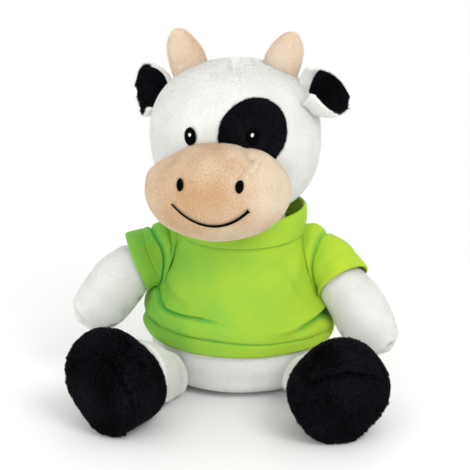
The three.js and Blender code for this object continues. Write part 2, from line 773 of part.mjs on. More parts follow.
for (const name of Object.keys(SIDES)) {
  const aheadOfAnkle = beyondFoot(name, SEAM_GAP);
  const aheadOfSeam = beyondFoot(name, SOLE_SEAM);
  const aheadOfSole = beyondFoot(name, SOLE_SEAM + SEAM_GAP);
  const whole = (grow, legSides, bootSides) => {
    const limb = legForm(name, grow, legSides).add(bootForm(name, grow, bootSides));
    return limb.subtract(hipKeepOut(name, -grow));
  };
  const limb = whole(0, 14, 16).subtract(underFloor).subtract(whole(-PLUSH, 10, 10));
  addPiece(cow, `leg_${name}_skin`, limb.subtract(beyondFoot(name, 0)), 'white');
  addPiece(cow, `boot_${name}`, limb.intersect(aheadOfAnkle).subtract(aheadOfSeam), 'black');
  addPiece(cow, `sole_${name}`, limb.intersect(aheadOfSole), 'black');
  addPiece(cow, `leg_${name}_stuffing`, whole(-PLUSH - SEAM_GAP, 10, 10), 'stuffing');
}

// Tail

function tubeAlong(points, radii, sides) {
  const path = new THREE.CatmullRomCurve3(points);
  const rings = radii.map((radius, k) => {
    const share = k / (radii.length - 1);
    return ringAcross(path.getPoint(share), path.getTangent(share), radius, sides);
  });
  return loft(rings);
}

const tailStrip = tubeAlong([TAIL_ROOT, TAIL_BEND, TAIL_END], Array(5).fill(TAIL_RADIUS), 8);
const aroundTorso = torsoForm(TAIL_CLEARANCE, -FLOOR_FLAT, neckTop, 22, 9);
addPiece(cow, 'tail_strip', tailStrip.subtract(aroundTorso), 'white');
const gapStart = TAIL_END.clone().lerp(TUFT_END, 0.12);
const tuftMiddle = TAIL_END.clone().lerp(TUFT_END, 0.5);
const tuftSwell = [0.5, 0.85, 1, 0.95, 0.7, 0.3].map((k) => k * TUFT_RADIUS);
addPiece(cow, 'tail_tuft', tubeAlong([gapStart, tuftMiddle, TUFT_END], tuftSwell, 10), 'black');

export default cow;
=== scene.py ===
import math

import bpy
import numpy as np
from mathutils import Euler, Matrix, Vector, kdtree


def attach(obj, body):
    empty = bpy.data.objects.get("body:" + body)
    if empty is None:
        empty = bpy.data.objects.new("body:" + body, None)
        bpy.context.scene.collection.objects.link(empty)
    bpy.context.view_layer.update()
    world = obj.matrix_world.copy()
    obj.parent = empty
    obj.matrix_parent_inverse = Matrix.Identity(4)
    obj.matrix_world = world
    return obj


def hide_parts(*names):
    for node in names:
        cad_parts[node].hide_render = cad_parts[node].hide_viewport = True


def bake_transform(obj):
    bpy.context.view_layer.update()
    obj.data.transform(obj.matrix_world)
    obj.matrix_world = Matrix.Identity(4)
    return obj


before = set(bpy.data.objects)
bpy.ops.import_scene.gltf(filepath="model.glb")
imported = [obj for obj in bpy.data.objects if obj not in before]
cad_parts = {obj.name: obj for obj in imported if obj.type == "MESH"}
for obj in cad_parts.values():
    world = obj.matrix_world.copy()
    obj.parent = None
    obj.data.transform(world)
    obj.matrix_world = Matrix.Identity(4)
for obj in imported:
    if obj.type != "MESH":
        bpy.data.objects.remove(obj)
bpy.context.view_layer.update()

MM = 0.001


# Camera, lights and floor
# The toy sits on a white sweep under soft lights, the larger one on its own left.
# The camera is a long lens a little to the toy's left and above, as in the photograph.

VIEW_AZIMUTH = math.radians(4)
VIEW_HEIGHT = math.radians(20)
VIEW_DISTANCE = 1200 * MM
VIEW_TARGET = Vector((-3.3 * MM, 0, 82.5 * MM))
LENS_MM = 162.7
SWEEP_HALF = 3.0
# The sweep shows its shadows as far as the first reach, and is plain white past the second
SHADOW_REACH, GLOW_REACH = 0.1, 0.24


def node(tree, kind, inputs=(), **settings):
    """A shader node with its settings. Each input is given a value or a socket to link."""
    made = tree.nodes.new(kind)
    for name, value in settings.items():
        setattr(made, name, value)
    for name, value in dict(inputs).items():
        if isinstance(value, bpy.types.NodeSocket):
            tree.links.new(value, made.inputs[name])
        else:
            made.inputs[name].default_value = value
    return made


def aim(thing, place, target):
    """Puts a lamp or the camera at a place, looking at the target."""
    thing.location = place
    thing.rotation_euler = (target - place).to_track_quat("-Z", "Y").to_euler()


camera_data = bpy.data.cameras.new("camera")
camera_data.lens = LENS_MM
camera_data.clip_start = 10 * MM
camera = bpy.data.objects.new("camera", camera_data)
bpy.context.scene.collection.objects.link(camera)
view_back = Vector((
    math.sin(VIEW_AZIMUTH) * math.cos(VIEW_HEIGHT),
    -math.cos(VIEW_AZIMUTH) * math.cos(VIEW_HEIGHT),
    math.sin(VIEW_HEIGHT),
))
aim(camera, VIEW_TARGET + view_back * VIEW_DISTANCE, VIEW_TARGET)
bpy.context.scene.camera = camera
bpy.context.scene.view_settings.view_transform = "Standard"

for name, place, width, watts in [
    ("key_light", (0.6, -0.75, 0.95), 0.6, 5.5),
    ("fill_light", (-0.6, -1.0, 0.25), 0.9, 4.0),
    ("back_light", (0.1, 0.9, 0.9), 0.8, 2.5),
]:
    lamp_data = bpy.data.lights.new(name, "AREA")
    lamp_data.size = width
    lamp_data.energy = watts
    lamp = bpy.data.objects.new(name, lamp_data)
    bpy.context.scene.collection.objects.link(lamp)
    aim(lamp, Vector(place), VIEW_TARGET)

world = bpy.data.worlds.new("studio")
bpy.context.scene.world = world
world.use_nodes = True
sky = world.node_tree.nodes["Background"]
sky.inputs["Color"].default_value = (1, 1, 1, 1)
rays = node(world.node_tree, "ShaderNodeLightPath")
seen = node(world.node_tree, "ShaderNodeMath", {0: rays.outputs["Is Camera Ray"],
            1: rays.outputs["Is Glossy Ray"]}, operation="MAXIMUM")
level = node(world.node_tree, "ShaderNodeMapRange", {"Value": seen.outputs[0],
             "To Min": 0.85, "To Max": 1.0})
world.node_tree.links.new(level.outputs[0], sky.inputs["Strength"])

sweep_mesh = bpy.data.meshes.new("sweep")
sweep_mesh.from_pydata([(x * SWEEP_HALF, y * SWEEP_HALF, 0)
                        for x, y in [(-1, -1), (1, -1), (1, 1), (-1, 1)]], [], [(0, 1, 2, 3)])
sweep = bpy.data.objects.new("sweep", sweep_mesh)
bpy.context.scene.collection.objects.link(sweep)
paper = bpy.data.materials.new("sweep_paper")
paper.use_nodes = True
paper_shader = paper.node_tree.nodes["Principled BSDF"]
paper_shader.inputs["Base Color"].default_value = (0.93, 0.93, 0.93, 1)
paper_shader.inputs["Roughness"].default_value = 0.9
paper_glow = node(paper.node_tree, "ShaderNodeEmission", {"Strength": 1.0})
paper_rays = node(paper.node_tree, "ShaderNodeLightPath")
paper_spot = node(paper.node_tree, "ShaderNodeTexCoord").outputs["Object"]
paper_far = node(paper.node_tree, "ShaderNodeVectorMath", {0: paper_spot}, operation="LENGTH")
paper_fade = node(paper.node_tree, "ShaderNodeMapRange", {"Value": paper_far.outputs["Value"],
                  "From Min": SHADOW_REACH, "From Max": GLOW_REACH}, interpolation_type="SMOOTHSTEP")
paper_share = node(paper.node_tree, "ShaderNodeMath", {0: paper_rays.outputs["Is Camera Ray"],
                   1: paper_fade.outputs[0]}, operation="MULTIPLY")
paper_mix = node(paper.node_tree, "ShaderNodeMixShader", {0: paper_share.outputs[0],
                 1: paper_shader.outputs[0], 2: paper_glow.outputs[0]})
paper.node_tree.links.new(paper_mix.outputs[0],
                          paper.node_tree.nodes["Material Output"].inputs["Surface"])
sweep_mesh.materials.append(paper)


# Head
# The head is a squarish ball of short white plush, filled tight and turned a little
# to the toy's right. Its pile is cut short, leans downwards and gathers in small tufts.

HEAD_TURN, HEAD_LEAN = math.radians(-7), math.radians(-3.5)
HEAD_SHIFT = np.array([-3, 0, 0]) * MM
HEAD_CENTRE = np.array([0, 0, 140.5]) * MM
HEAD_HALF = np.array([48, 43, 43.8]) * MM
HEAD_SQUARENESS = 2.4
# Each skin lies a little deeper than the surface that its pile makes
PLUSH_SINK = 0.8 * MM
PLUSH_NAP = {"length": 1.4 * MM, "width": 0.34 * MM, "lean": 1.15}
PARTING_HALF = 5 * MM
NECK_TOP = 98 * MM
# The cloth is deeper in tone nearer than that to a given middle point, and paler beyond
DEEP_TONE_HALF, DEEP_TONE_FALL = 25 * MM, 14.0
WHITE_LOW = (234, 235, 230)
WHITE_HIGH = (249, 249, 246)


def tone(colour):
    """A colour card's red, green and blue, from 0 to 255, as a shader wants it."""
    shares = [c / 255 for c in colour]
    return [((c + 0.055) / 1.055) ** 2.4 if c > 0.04 else c / 12.92 for c in shares] + [1.0]


def swell(places, wave, seed):
    """Gentle lumps of about that wavelength, from -1 to 1, that only depend on the place."""
    rng = np.random.default_rng(seed)
    total = np.zeros(len(places))
    for _ in range(10):
        way = rng.normal(size=3)
        way *= 2 * math.pi / (wave * rng.uniform(0.7, 1.5) * np.linalg.norm(way))
        total += np.sin(places @ way + rng.uniform(0, 2 * math.pi))
    return total / 4.5


def cloth_mesh(name, rings, flat_ends=False):
    """A skin through rings of points, closed at each end by a fan, or flat_ends by a strip
    between the two halves of the ring."""
    rows, columns = rings.shape[:2]
    places = rings.reshape(-1, 3)
    here = np.arange(columns)
    beside = (here + 1) % columns
    start = np.arange(rows - 1)[:, None] * columns
    quads = np.stack([start + here, start + beside, start + columns + beside,
                      start + columns + here], -1).reshape(-1, 4)
    faces = quads.tolist()
    for row in (0, rows - 1):
        edge = row * columns
        if flat_ends:
            cap = [[edge + k + 1, edge + k, edge + columns - 1 - k, edge + columns - 2 - k]
                   for k in range(columns // 2 - 1)]
        else:
            places = np.vstack([places, rings[row].mean(0)])
            tip = len(places) - 1
            cap = [[tip, edge + b, edge + a] for a, b in zip(here, beside)]
        faces += cap if row == 0 else [face[::-1] for face in cap]
    mesh = bpy.data.meshes.new(name)
    mesh.from_pydata(places.tolist(), [], faces)
    return place_mesh(name, mesh)


def mesh_arrays(mesh):
    """A mesh's places and the corners of its triangles."""
    mesh.calc_loop_triangles()
    corners = np.empty(len(mesh.loop_triangles) * 3, np.int32)
    mesh.loop_triangles.foreach_get("vertices", corners)
    places = np.empty(len(mesh.vertices) * 3)
    mesh.vertices.foreach_get("co", places)
    return places.reshape(-1, 3), corners.reshape(-1, 3)


def place_mesh(name, mesh):
    """An object of a closed mesh, with its faces looking outwards."""
    mesh.polygons.foreach_set("use_smooth", [True] * len(mesh.polygons))
    mesh.update()
    piece = bpy.data.objects.new(name, mesh)
    bpy.context.scene.collection.objects.link(piece)
    places, corners = mesh_arrays(mesh)
    a, b, c = (places[corners[:, k]] - places.mean(0) for k in range(3))
    if np.einsum("ij,ij", a, np.cross(b, c)) < 0:
        mesh.flip_normals()
    return piece


def all_round(count):
    """Even angles all the way round."""
    return np.linspace(0, 2 * math.pi, count, endpoint=False)


def puff(centre, half, squareness, columns=96, rows=64):
    """The rings of a squarish ball, from its foot to its crown."""
    tilt = np.linspace(-0.5, 0.5, rows + 2)[1:-1, None] * math.pi
    turn = all_round(columns)
    spread = np.cos(tilt) ** (2 / squareness)
    rise = np.sign(np.sin(tilt)) * np.abs(np.sin(tilt)) ** (2 / squareness)
    return centre + half * np.stack([spread * np.cos(turn), spread * np.sin(turn),
                                     rise * np.ones_like(turn)], -1)


HEAD_AXES = np.array(Euler((0, HEAD_LEAN, HEAD_TURN), "XYZ").to_matrix())


def turned(places):
    """Places in the head's own frame, turned and leaned with the head."""
    return (places - HEAD_CENTRE) @ HEAD_AXES.T + HEAD_CENTRE + HEAD_SHIFT


def unturned(places):
    """Places on the toy, as the head's own frame has them."""
    return (places - HEAD_CENTRE - HEAD_SHIFT) @ HEAD_AXES + HEAD_CENTRE


def group(name, sockets_in, sockets_out):
    """A shader node group, with the sockets that lead into it and the node that ends it."""
    tree = bpy.data.node_groups.new(name, "ShaderNodeTree")
    for label, kind, value in sockets_in:
        socket = tree.interface.new_socket(label, in_out="INPUT", socket_type=kind)
        if value is not None:
            socket.default_value = value
    for label, kind in sockets_out:
        tree.interface.new_socket(label, in_out="OUTPUT", socket_type=kind)
    return tree, tree.nodes.new("NodeGroupInput").outputs, tree.nodes.new("NodeGroupOutput")


pile_group, given, result = group(
    "pile_tone",
    [("Low", "NodeSocketColor", (0.5, 0.5, 0.5, 1)), ("High", "NodeSocketColor", (1, 1, 1, 1)),
     ("Tuft Scale", "NodeSocketFloat", 400.0), ("Drift Scale", "NodeSocketFloat", 45.0),
     ("Deep Tone Middle", "NodeSocketVector", (0, 0, 0)), ("Deep Tone Fall", "NodeSocketFloat", 0.0)],
    [("Color", "NodeSocketColor"), ("Height", "NodeSocketFloat")])
spot = node(pile_group, "ShaderNodeTexCoord").outputs["Object"]
tufts = node(pile_group, "ShaderNodeTexNoise", {"Vector": spot, "Scale": given["Tuft Scale"],
             "Detail": 2.0, "Roughness": 0.6})
drift = node(pile_group, "ShaderNodeTexNoise", {"Vector": spot, "Scale": given["Drift Scale"],
             "Detail": 1.0})
both = node(pile_group, "ShaderNodeMath", {0: tufts.outputs["Fac"], 1: drift.outputs["Fac"]},
            operation="ADD")
deep_far = node(pile_group, "ShaderNodeVectorMath", {0: spot, 1: given["Deep Tone Middle"]},
                 operation="DISTANCE")
deep_past = node(pile_group, "ShaderNodeMath", {0: deep_far.outputs["Value"], 1: DEEP_TONE_HALF},
                  operation="SUBTRACT")
deepened = node(pile_group, "ShaderNodeMath", {0: deep_past.outputs[0], 1: given["Deep Tone Fall"],
               2: both.outputs[0]}, operation="MULTIPLY_ADD")
spread_out = node(pile_group, "ShaderNodeMapRange", {"Value": deepened.outputs[0],
                  "From Min": 0.7, "From Max": 1.3})
blend_tone = node(pile_group, "ShaderNodeMix", {"Factor": spread_out.outputs[0],
                  "A": given["Low"], "B": given["High"]}, data_type="RGBA")
pile_group.links.new(blend_tone.outputs["Result"], result.inputs["Color"])
pile_group.links.new(tufts.outputs["Fac"], result.inputs["Height"])


def plush_material(name, low, high, sheen, tuft_scale, bump=0.0, specular=0.2, deep_middle=None):
    """Cloth with a pile: its tone drifts from tuft to tuft, and its nap catches the light."""
    material = bpy.data.materials.new(name)
    material.use_nodes = True
    tree = material.node_tree
    shader = tree.nodes["Principled BSDF"]
    pattern = node(tree, "ShaderNodeGroup", node_tree=pile_group)
    pattern.inputs["Low"].default_value = tone(low)
    pattern.inputs["High"].default_value = tone(high)
    pattern.inputs["Tuft Scale"].default_value = tuft_scale
    if deep_middle:
        pattern.inputs["Deep Tone Middle"].default_value = deep_middle
        pattern.inputs["Deep Tone Fall"].default_value = DEEP_TONE_FALL
    tree.links.new(pattern.outputs["Color"], shader.inputs["Base Color"])
    shader.inputs["Roughness"].default_value = 0.9
    shader.inputs["Specular IOR Level"].default_value = specular
    shader.inputs["Sheen Weight"].default_value = sheen
    shader.inputs["Sheen Roughness"].default_value = 0.5
    if bump:
        nap = node(tree, "ShaderNodeBump", {"Height": pattern.outputs["Height"],
                   "Strength": bump, "Distance": 0.4 * MM})
        tree.links.new(nap.outputs["Normal"], shader.inputs["Normal"])
    return material


def downwards(roots, ups):
    """The nap lies down, and on the top of a piece it falls to both sides."""
    side = np.tanh((roots[:, 0] - HEAD_SHIFT[0]) / PARTING_HALF)
    apart = 1.5 * side * np.clip(ups[:, 2], 0, 1) ** 2
    return np.stack([apart, np.full_like(apart, 0.1), np.full_like(apart, -1.0)], -1)


def nearest(points, others):
    """For each point the index of the nearest of the others."""
    tree = kdtree.KDTree(len(others))
    for index, place in enumerate(others):
        tree.insert(place, index)
    tree.balance()
    return np.array([tree.find(place)[1] for place in points])


def unit(vectors):
    """Each vector at a length of 1."""
    return vectors / np.maximum(np.linalg.norm(vectors, axis=1), 1e-12)[:, None]


TIP_CLEAR = 0.15 * MM


def pile(name, ground, per_mm2, length, width, lean, seed, comb=downwards, keep=None,
         gather=0.1, tuft=1.5 * MM, bent=False, stray=0.18):
    """Strands of pile on a skin, each a thin blade that leans the way it is combed,
    with the tips of each tuft drawn together. keep says which roots stay, and how long."""
    rng = np.random.default_rng(seed)
    mesh = ground.data
    places, corners = mesh_arrays(mesh)
    outs = np.empty(len(mesh.vertices) * 3)
    mesh.vertex_normals.foreach_get("vector", outs)
    outs = outs.reshape(-1, 3)

    # The roots are spread evenly over the skin.
    a, b, c = (places[corners[:, k]] for k in range(3))
    wanted = np.linalg.norm(np.cross(b - a, c - a), axis=1) / 2 * per_mm2 / MM ** 2
    counts = np.floor(wanted + rng.random(len(wanted))).astype(int)
    face = np.repeat(np.arange(len(counts)), counts)
    shares = rng.random((len(face), 2))
    over = shares.sum(1) > 1
    shares[over] = 1 - shares[over]
    weights = np.column_stack([1 - shares.sum(1), shares])[:, :, None]
    roots = (places[corners[face]] * weights).sum(1)
    ups = unit((outs[corners[face]] * weights).sum(1))
    long = length * rng.uniform(0.75, 1.15, len(roots))
    if keep is not None:
        share = keep(roots)
        stays = share > 0
        roots, ups, long = roots[stays], ups[stays], (long * share)[stays]

    # Each strand leans along the cloth, the way it is combed.
    count = len(roots)
    way = comb(roots, ups) + rng.normal(scale=stray, size=(count, 3))
    way = unit(way - (way * ups).sum(1)[:, None] * ups)
    tilt = np.clip(lean + rng.normal(scale=0.1, size=count), 0.05, 1.4)[:, None]
    run = np.cos(tilt) * ups + np.sin(tilt) * way
    tips = roots + run * long[:, None]

    # One strand leads each tuft, and the tips of the others bend towards its tip.
    heads = rng.choice(count, max(1, int(count / (per_mm2 * (tuft / MM) ** 2))), replace=False)
    leader = heads[nearest(roots, roots[heads])]
    pull = gather * rng.uniform(0.5, 1.0, count)[:, None]
    tips += (tips[leader] - tips + (roots - roots[leader]) * 0.25) * pull
    tips[:, 2] = np.maximum(tips[:, 2], TIP_CLEAR)

    # A strand is a blade of one triangle, or of a quad and a triangle where it is bent,
    # turned with its face outwards and shaded between that face and the skin.
    run = unit(tips - roots)
    side = unit(np.cross(run, ups) + rng.normal(scale=0.3, size=(count, 3)))
    side *= np.sign((np.cross(side, run) * ups).sum(1))[:, None]
    half = side * (width / 2 * rng.uniform(0.7, 1.3, count)[:, None])
    shade = unit(ups + 0.45 * np.cross(side, run))
    if bent:
        middle = roots + (0.55 * (tips - roots)) + 0.12 * long[:, None] * ups
        points = np.stack([roots - half, roots + half, middle + 0.8 * half,
                           middle - 0.8 * half, tips], 1)
        order, sizes = [0, 1, 2, 3, 3, 2, 4], [4, 3]
    else:
        points = np.stack([roots - half, roots + half, tips], 1)
        order, sizes = [0, 1, 2], [3]

    each = points.shape[1]
    made = bpy.data.meshes.new(name)
    made.vertices.add(count * each)
    made.vertices.foreach_set("co", points.ravel())
    made.loops.add(count * len(order))
    made.polygons.add(count * len(sizes))
    starts = np.arange(count)[:, None] * len(order) + np.cumsum([0] + sizes[:-1])
    made.polygons.foreach_set("loop_start", starts.ravel().astype(np.int32))
    used = np.arange(count)[:, None] * each + np.array(order)
    made.polygons.foreach_set("vertices", used.ravel().astype(np.int32))
    made.polygons.foreach_set("use_smooth", [True] * (count * len(sizes)))
    made.update(calc_edges=True)

    # In the bake's map each strand has a cell of its own.
    side_cells = math.ceil(math.sqrt(count))
    cell = np.arange(count)
    corner = {3: [(0.1, 0.1), (0.9, 0.1), (0.5, 0.9)],
              5: [(0.1, 0.05), (0.9, 0.05), (0.85, 0.5), (0.15, 0.5), (0.5, 0.95)]}[each]
    at = np.stack([cell % side_cells, cell // side_cells], 1)[:, None, :] + np.array(corner)
    made.uv_layers.new(name="OFBake")
    made.uv_layers["OFBake"].uv.foreach_set("vector", (at[:, order] / side_cells).ravel())
    made.normals_split_custom_set_from_vertices(np.repeat(shade, each, axis=0).tolist())
    piece = bpy.data.objects.new(name, made)
    bpy.context.scene.collection.objects.link(piece)
    return piece


def finish_piece(piece, material, body=None, stands_for=()):
    """Gives a piece its material in a slot, its body, and hides the CAD parts it stands for."""
    piece.data.materials.append(material)
    if body:
        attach(piece, body)
    if stands_for:
        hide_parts(*stands_for)


def head_front(x, z, lift=0.0):
    """How far forward the head's front is, in its own frame, at that x and z."""
    half = HEAD_HALF + lift
    rise = np.clip(np.abs((z - HEAD_CENTRE[2]) / half[2]), 0, 1) ** HEAD_SQUARENESS
    reach = (1 - rise) ** (2 / HEAD_SQUARENESS) - (x / half[0]) ** 2
    return HEAD_CENTRE[1] - half[1] * np.sqrt(np.maximum(reach, 0))


white_skin = plush_material("white_plush_ground", WHITE_LOW, WHITE_HIGH, sheen=0.15,
                            tuft_scale=700, bump=0.5)
white_pile = plush_material("white_plush_pile", WHITE_LOW, WHITE_HIGH, sheen=0.15, tuft_scale=900)

# Where the muzzle, the eye patch and the eyes sit, in the head's own frame
MUZZLE_CENTRE = np.array([-1.9, -45, 123.6]) * MM
MUZZLE_HALF = np.array([40.3, 25, 27]) * MM
EYE_PATCH_MIDDLE = np.array([17, 153.2]) * MM
EYE_PATCH_HALF = np.array([18.3, 19.2]) * MM
EYE_MIDDLE = np.array([17, 152.9]) * MM
EYE_HALF = np.array([3.8, 4.95]) * MM


def in_oval(places, middle, half, grow=0.0):
    """Which places in the head's frame lie in front of an oval in X and Z."""
    off = (places[:, [0, 2]] - middle) / (half + grow)
    return (off ** 2).sum(1) < 1


def in_puff(places, centre, half, grow=0.0):
    """Which places lie inside an ellipsoid."""
    return (((places - centre) / (half + grow)) ** 2).sum(1) < 1


def head_keep(roots):
    """Where the head has pile: not under the muzzle, the eye patch, the eye or the neck seam."""
    own = unturned(roots)
    front = own[:, 1] < 0
    right_eye = EYE_MIDDLE * [-1, 1]
    hidden = in_puff(own, MUZZLE_CENTRE, MUZZLE_HALF, grow=0.2 * MM)
    hidden |= front & in_oval(own, EYE_PATCH_MIDDLE, EYE_PATCH_HALF - 1.0 * MM)
    hidden |= front & in_oval(own, right_eye, EYE_HALF, grow=0.1 * MM)
    hidden |= own[:, 2] < NECK_TOP
    near = front & in_oval(own, right_eye, EYE_HALF, grow=1.6 * MM)
    return np.where(hidden, 0.0, np.where(near, 0.5, 1.0))


head_rings = puff(HEAD_CENTRE, HEAD_HALF - PLUSH_SINK, HEAD_SQUARENESS)
head_places = head_rings.reshape(-1, 3)
head_places = HEAD_CENTRE + (head_places - HEAD_CENTRE) * (
    1 + 0.008 * swell(head_places, wave=30 * MM, seed=1)[:, None])
head = cloth_mesh("head", turned(head_places).reshape(head_rings.shape))
finish_piece(head, white_skin, "head", ["head_skin", "head_stuffing"])
head_pile = pile("head_pile", head, per_mm2=8, seed=11, keep=head_keep, **PLUSH_NAP)
finish_piece(head_pile, white_pile, "head")


# Muzzle
# The muzzle is a wide ball of peach velour, stuffed by itself and sewn to the face.
# A dart at its top edge draws the cloth together beside the toy's left nostril.

VELOUR_SINK = 0.5 * MM
VELOUR_NAP = {"per_mm2": 9, "length": 1.0 * MM, "width": 0.3 * MM, "gather": 0.3, "tuft": 0.9 * MM}
PEACH_LOW = (215, 177, 135)
PEACH_HIGH = (238, 222, 198)
# The peach is deepest in tone near this point, on the toy's right of the muzzle's middle, and paler
# towards its rims
PEACH_DEEP_MIDDLE = (-20 * MM, -66 * MM, 124 * MM)
# Creases and ridges of the cloth: height and half width in millimetres, and the line
MUZZLE_LINES = [
    (-2.6, 2.6, [(15, -42, 150), (16.5, -48, 148), (19, -52, 145.5)]),
    (2.0, 4.5, [(25, -42, 148), (28, -46, 145)]),
    (-1.0, 1.3, [(20, -52, 145), (18, -58, 141), (14.5, -63, 137)]),
    (1.0, 1.1, [(23.4, -50, 144), (20.3, -59, 140), (16.9, -63, 136.5)]),
    (-2.8, 5.5, [(-30, -40, 148), (-25, -44, 149), (-26, -50, 145)]),
    (1.4, 5.0, [(-39, -44, 138), (-38, -48, 135)]),
    (-0.8, 3.5, [(36, -52, 131), (35, -55, 124)]),
]
# Each nostril's middle and half sizes in X and Z, in millimetres
NOSTRILS = {"right": (-17.6, 134.4, 2.2, 3.2), "left": (14.6, 133.4, 2.4, 3.3)}
SMILE_HALF_WIDTH = 20.7 * MM
SMILE_LOW = 111.6 * MM
SMILE_RISE = 10.2 * MM
SMILE_TILT = 1.9 * MM
# The stitches press a groove into the cloth, which is calm that far round them and has no
# pile under them
STITCH_DEPTH, STITCH_HALF, STITCH_CALM = 0.4 * MM, 1.6 * MM, 5 * MM
STITCH_BARE = 0.8 * MM
# What is sewn on the muzzle's front lies forward of this y
FRONT_Y = -50 * MM


def line_distance(places, line):
    """How far each place is from a bent line, and how far along the line that is."""
    best = np.full(len(places), np.inf)
    along = np.zeros(len(places))
    for k, (a, b) in enumerate(zip(line[:-1], line[1:])):
        run = b - a
        share = np.clip((places - a) @ run / (run @ run), 0, 1)
        far = np.linalg.norm(places - a - share[:, None] * run, axis=1)
        closer = far < best
        best[closer] = far[closer]
        along[closer] = (k + share[closer]) / (len(line) - 1)
    return best, along


def muzzle_front(x, z, lift=0.0):
    """How far forward the muzzle's front is, in the head's frame, at that x and z."""
    half = MUZZLE_HALF + lift
    reach = 1 - ((x - MUZZLE_CENTRE[0]) / half[0]) ** 2 - ((z - MUZZLE_CENTRE[2]) / half[2]) ** 2
    return MUZZLE_CENTRE[1] - half[1] * np.sqrt(np.maximum(reach, 0))


def smile_at(along):
    """Points of the smile in X and Z, from -1 at its right end to 1 at its left end."""
    x = MUZZLE_CENTRE[0] + SMILE_HALF_WIDTH * along
    return np.stack([x, SMILE_LOW + SMILE_RISE * along ** 2 - SMILE_TILT * along], -1)


smile_path = np.insert(smile_at(np.linspace(-1, 1, 25)), 1, 0, axis=1)


def smile_distance(own):
    """How far places in the head's frame are from the smile, seen from the front."""
    far = line_distance(own * [1, 0, 1], smile_path)[0]
    return np.where(own[:, 1] > FRONT_Y, np.inf, far)


def in_head(own, margin):
    """Which places lie deeper in the head than that margin."""
    return (np.abs((own - HEAD_CENTRE) / (HEAD_HALF - margin)) ** HEAD_SQUARENESS).sum(1) < 1


def muzzle_keep(roots):
    """Where the velour has pile: not inside the head, nor under the smile and the nostrils."""
    own = unturned(roots)
    hidden = in_head(own, margin=1.5 * MM)
    hidden |= smile_distance(own) < STITCH_BARE
    for x, z, half_x, half_z in NOSTRILS.values():
        middle, half = np.array([x, z]) * MM, np.array([half_x, half_z]) * MM
        hidden |= (own[:, 1] < FRONT_Y) & in_oval(own, middle, half)
    return np.where(hidden, 0.0, 1.0)


peach_skin = plush_material("peach_velour_ground", PEACH_LOW, PEACH_HIGH, sheen=0.15,
                            tuft_scale=1100, bump=0.35, deep_middle=PEACH_DEEP_MIDDLE)
peach_pile = plush_material("peach_velour_pile", PEACH_LOW, PEACH_HIGH, sheen=0.15,
                            tuft_scale=1100, deep_middle=PEACH_DEEP_MIDDLE)
muzzle_rings = puff(MUZZLE_CENTRE, MUZZLE_HALF - VELOUR_SINK, squareness=2.0, columns=128, rows=96)
muzzle_places = muzzle_rings.reshape(-1, 3)
from_middle = muzzle_places - MUZZLE_CENTRE
draw = 0.3 * MM * swell(muzzle_places, wave=18 * MM, seed=2)
for height, width, line in MUZZLE_LINES:
    far, along = line_distance(muzzle_places, np.array(line) * MM)
    draw += height * MM * np.exp(-(far / (width * MM)) ** 2)
smile_far = smile_distance(muzzle_places)
draw *= np.clip(smile_far / STITCH_CALM, 0, 1)
draw -= STITCH_DEPTH * np.exp(-(smile_far / STITCH_HALF) ** 2)
muzzle_places = muzzle_places + unit(from_middle) * draw[:, None]
muzzle = cloth_mesh("muzzle", turned(muzzle_places).reshape(muzzle_rings.shape))
finish_piece(muzzle, peach_skin, "head", ["muzzle_skin", "muzzle_stuffing"])
muzzle_pile = pile("muzzle_pile", muzzle, lean=0.9, seed=12, keep=muzzle_keep, **VELOUR_NAP)
finish_piece(muzzle_pile, peach_pile, "head")


# Eye patch
# An oval of longer black plush is sewn flat on the face round the toy's left eye.
# The muzzle overlaps its lower edge.

BLACK_LOW = (0, 0, 1)
BLACK_HIGH = (24, 24, 30)


def disc(middle, half, front, lift, edge, columns=64, rows=18):
    """The rings of a pad that lies on a front, from its edge to its middle."""
    turn = all_round(columns)
    rings = []
    for share, height in [(1, -edge)] + [(1 - (k / rows) ** 1.3, lift) for k in range(rows)]:
        x = middle[0] + half[0] * share * np.cos(turn)
        z = middle[1] + half[1] * share * np.sin(turn)
        rings.append(np.stack([x, front(x, z, height), z], -1))
    return np.array(rings)


def patch_keep(roots):
    """Where the patch has pile: not under the muzzle or the eye, and short round the eye."""
    own = unturned(roots)
    hidden = in_puff(own, MUZZLE_CENTRE, MUZZLE_HALF, grow=0.2 * MM)
    hidden |= in_oval(own, EYE_MIDDLE, EYE_HALF, grow=0.1 * MM)
    near = in_oval(own, EYE_MIDDLE, EYE_HALF, grow=1.5 * MM)
    return np.where(hidden, 0.0, np.where(near, 0.45, 1.0))


black_skin = plush_material("black_plush_ground", BLACK_LOW, BLACK_HIGH, sheen=0.0,
                            tuft_scale=600, bump=0.6, specular=0.02)
black_pile = plush_material("black_plush_pile", BLACK_LOW, BLACK_HIGH, sheen=0.01,
                            tuft_scale=600, specular=0.06)
patch_rings = disc(EYE_PATCH_MIDDLE, EYE_PATCH_HALF - 1.1 * MM, head_front, lift=0.3 * MM,
                   edge=1.0 * MM)
patch = cloth_mesh("eye_patch_cloth", turned(patch_rings.reshape(-1, 3)).reshape(patch_rings.shape))
finish_piece(patch, black_skin, "head", ["eye_patch"])
patch_pile = pile("eye_patch_pile", patch, per_mm2=7, length=1.9 * MM, width=0.4 * MM, lean=0.95,
                  seed=13, keep=patch_keep, gather=0.4)
finish_piece(patch_pile, black_pile, "head")


# Stitched face
# Eyes, nostrils and smile are satin stitch in black thread, and each eye has a small
# white stitched glint. The threads lie side by side and swell over the cloth.

SIDES = {"right": -1, "left": 1}
THREAD_PITCH = 0.36 * MM
THREAD_THICK = 0.5 * MM
GLINT_HALF = np.array([0.9, 0.9]) * MM
EYE_SHIFT = {"right": 0.5 * MM, "left": 1.0 * MM}
GLINT_RISE = 1.2 * MM
SMILE_THIN = 1.3 * MM
SMILE_THICK = 1.8 * MM
SMILE_LENGTH = 2.25 * SMILE_HALF_WIDTH
# The last threads at the smile's left end are longer, as a tick
SMILE_TICK, SMILE_TICK_START = 1.5, 0.97
# How far each eye stands off the head's skin. The left one is sewn on the patch.
EYE_LIFT = {"right": 0.1 * MM, "left": 1.3 * MM}


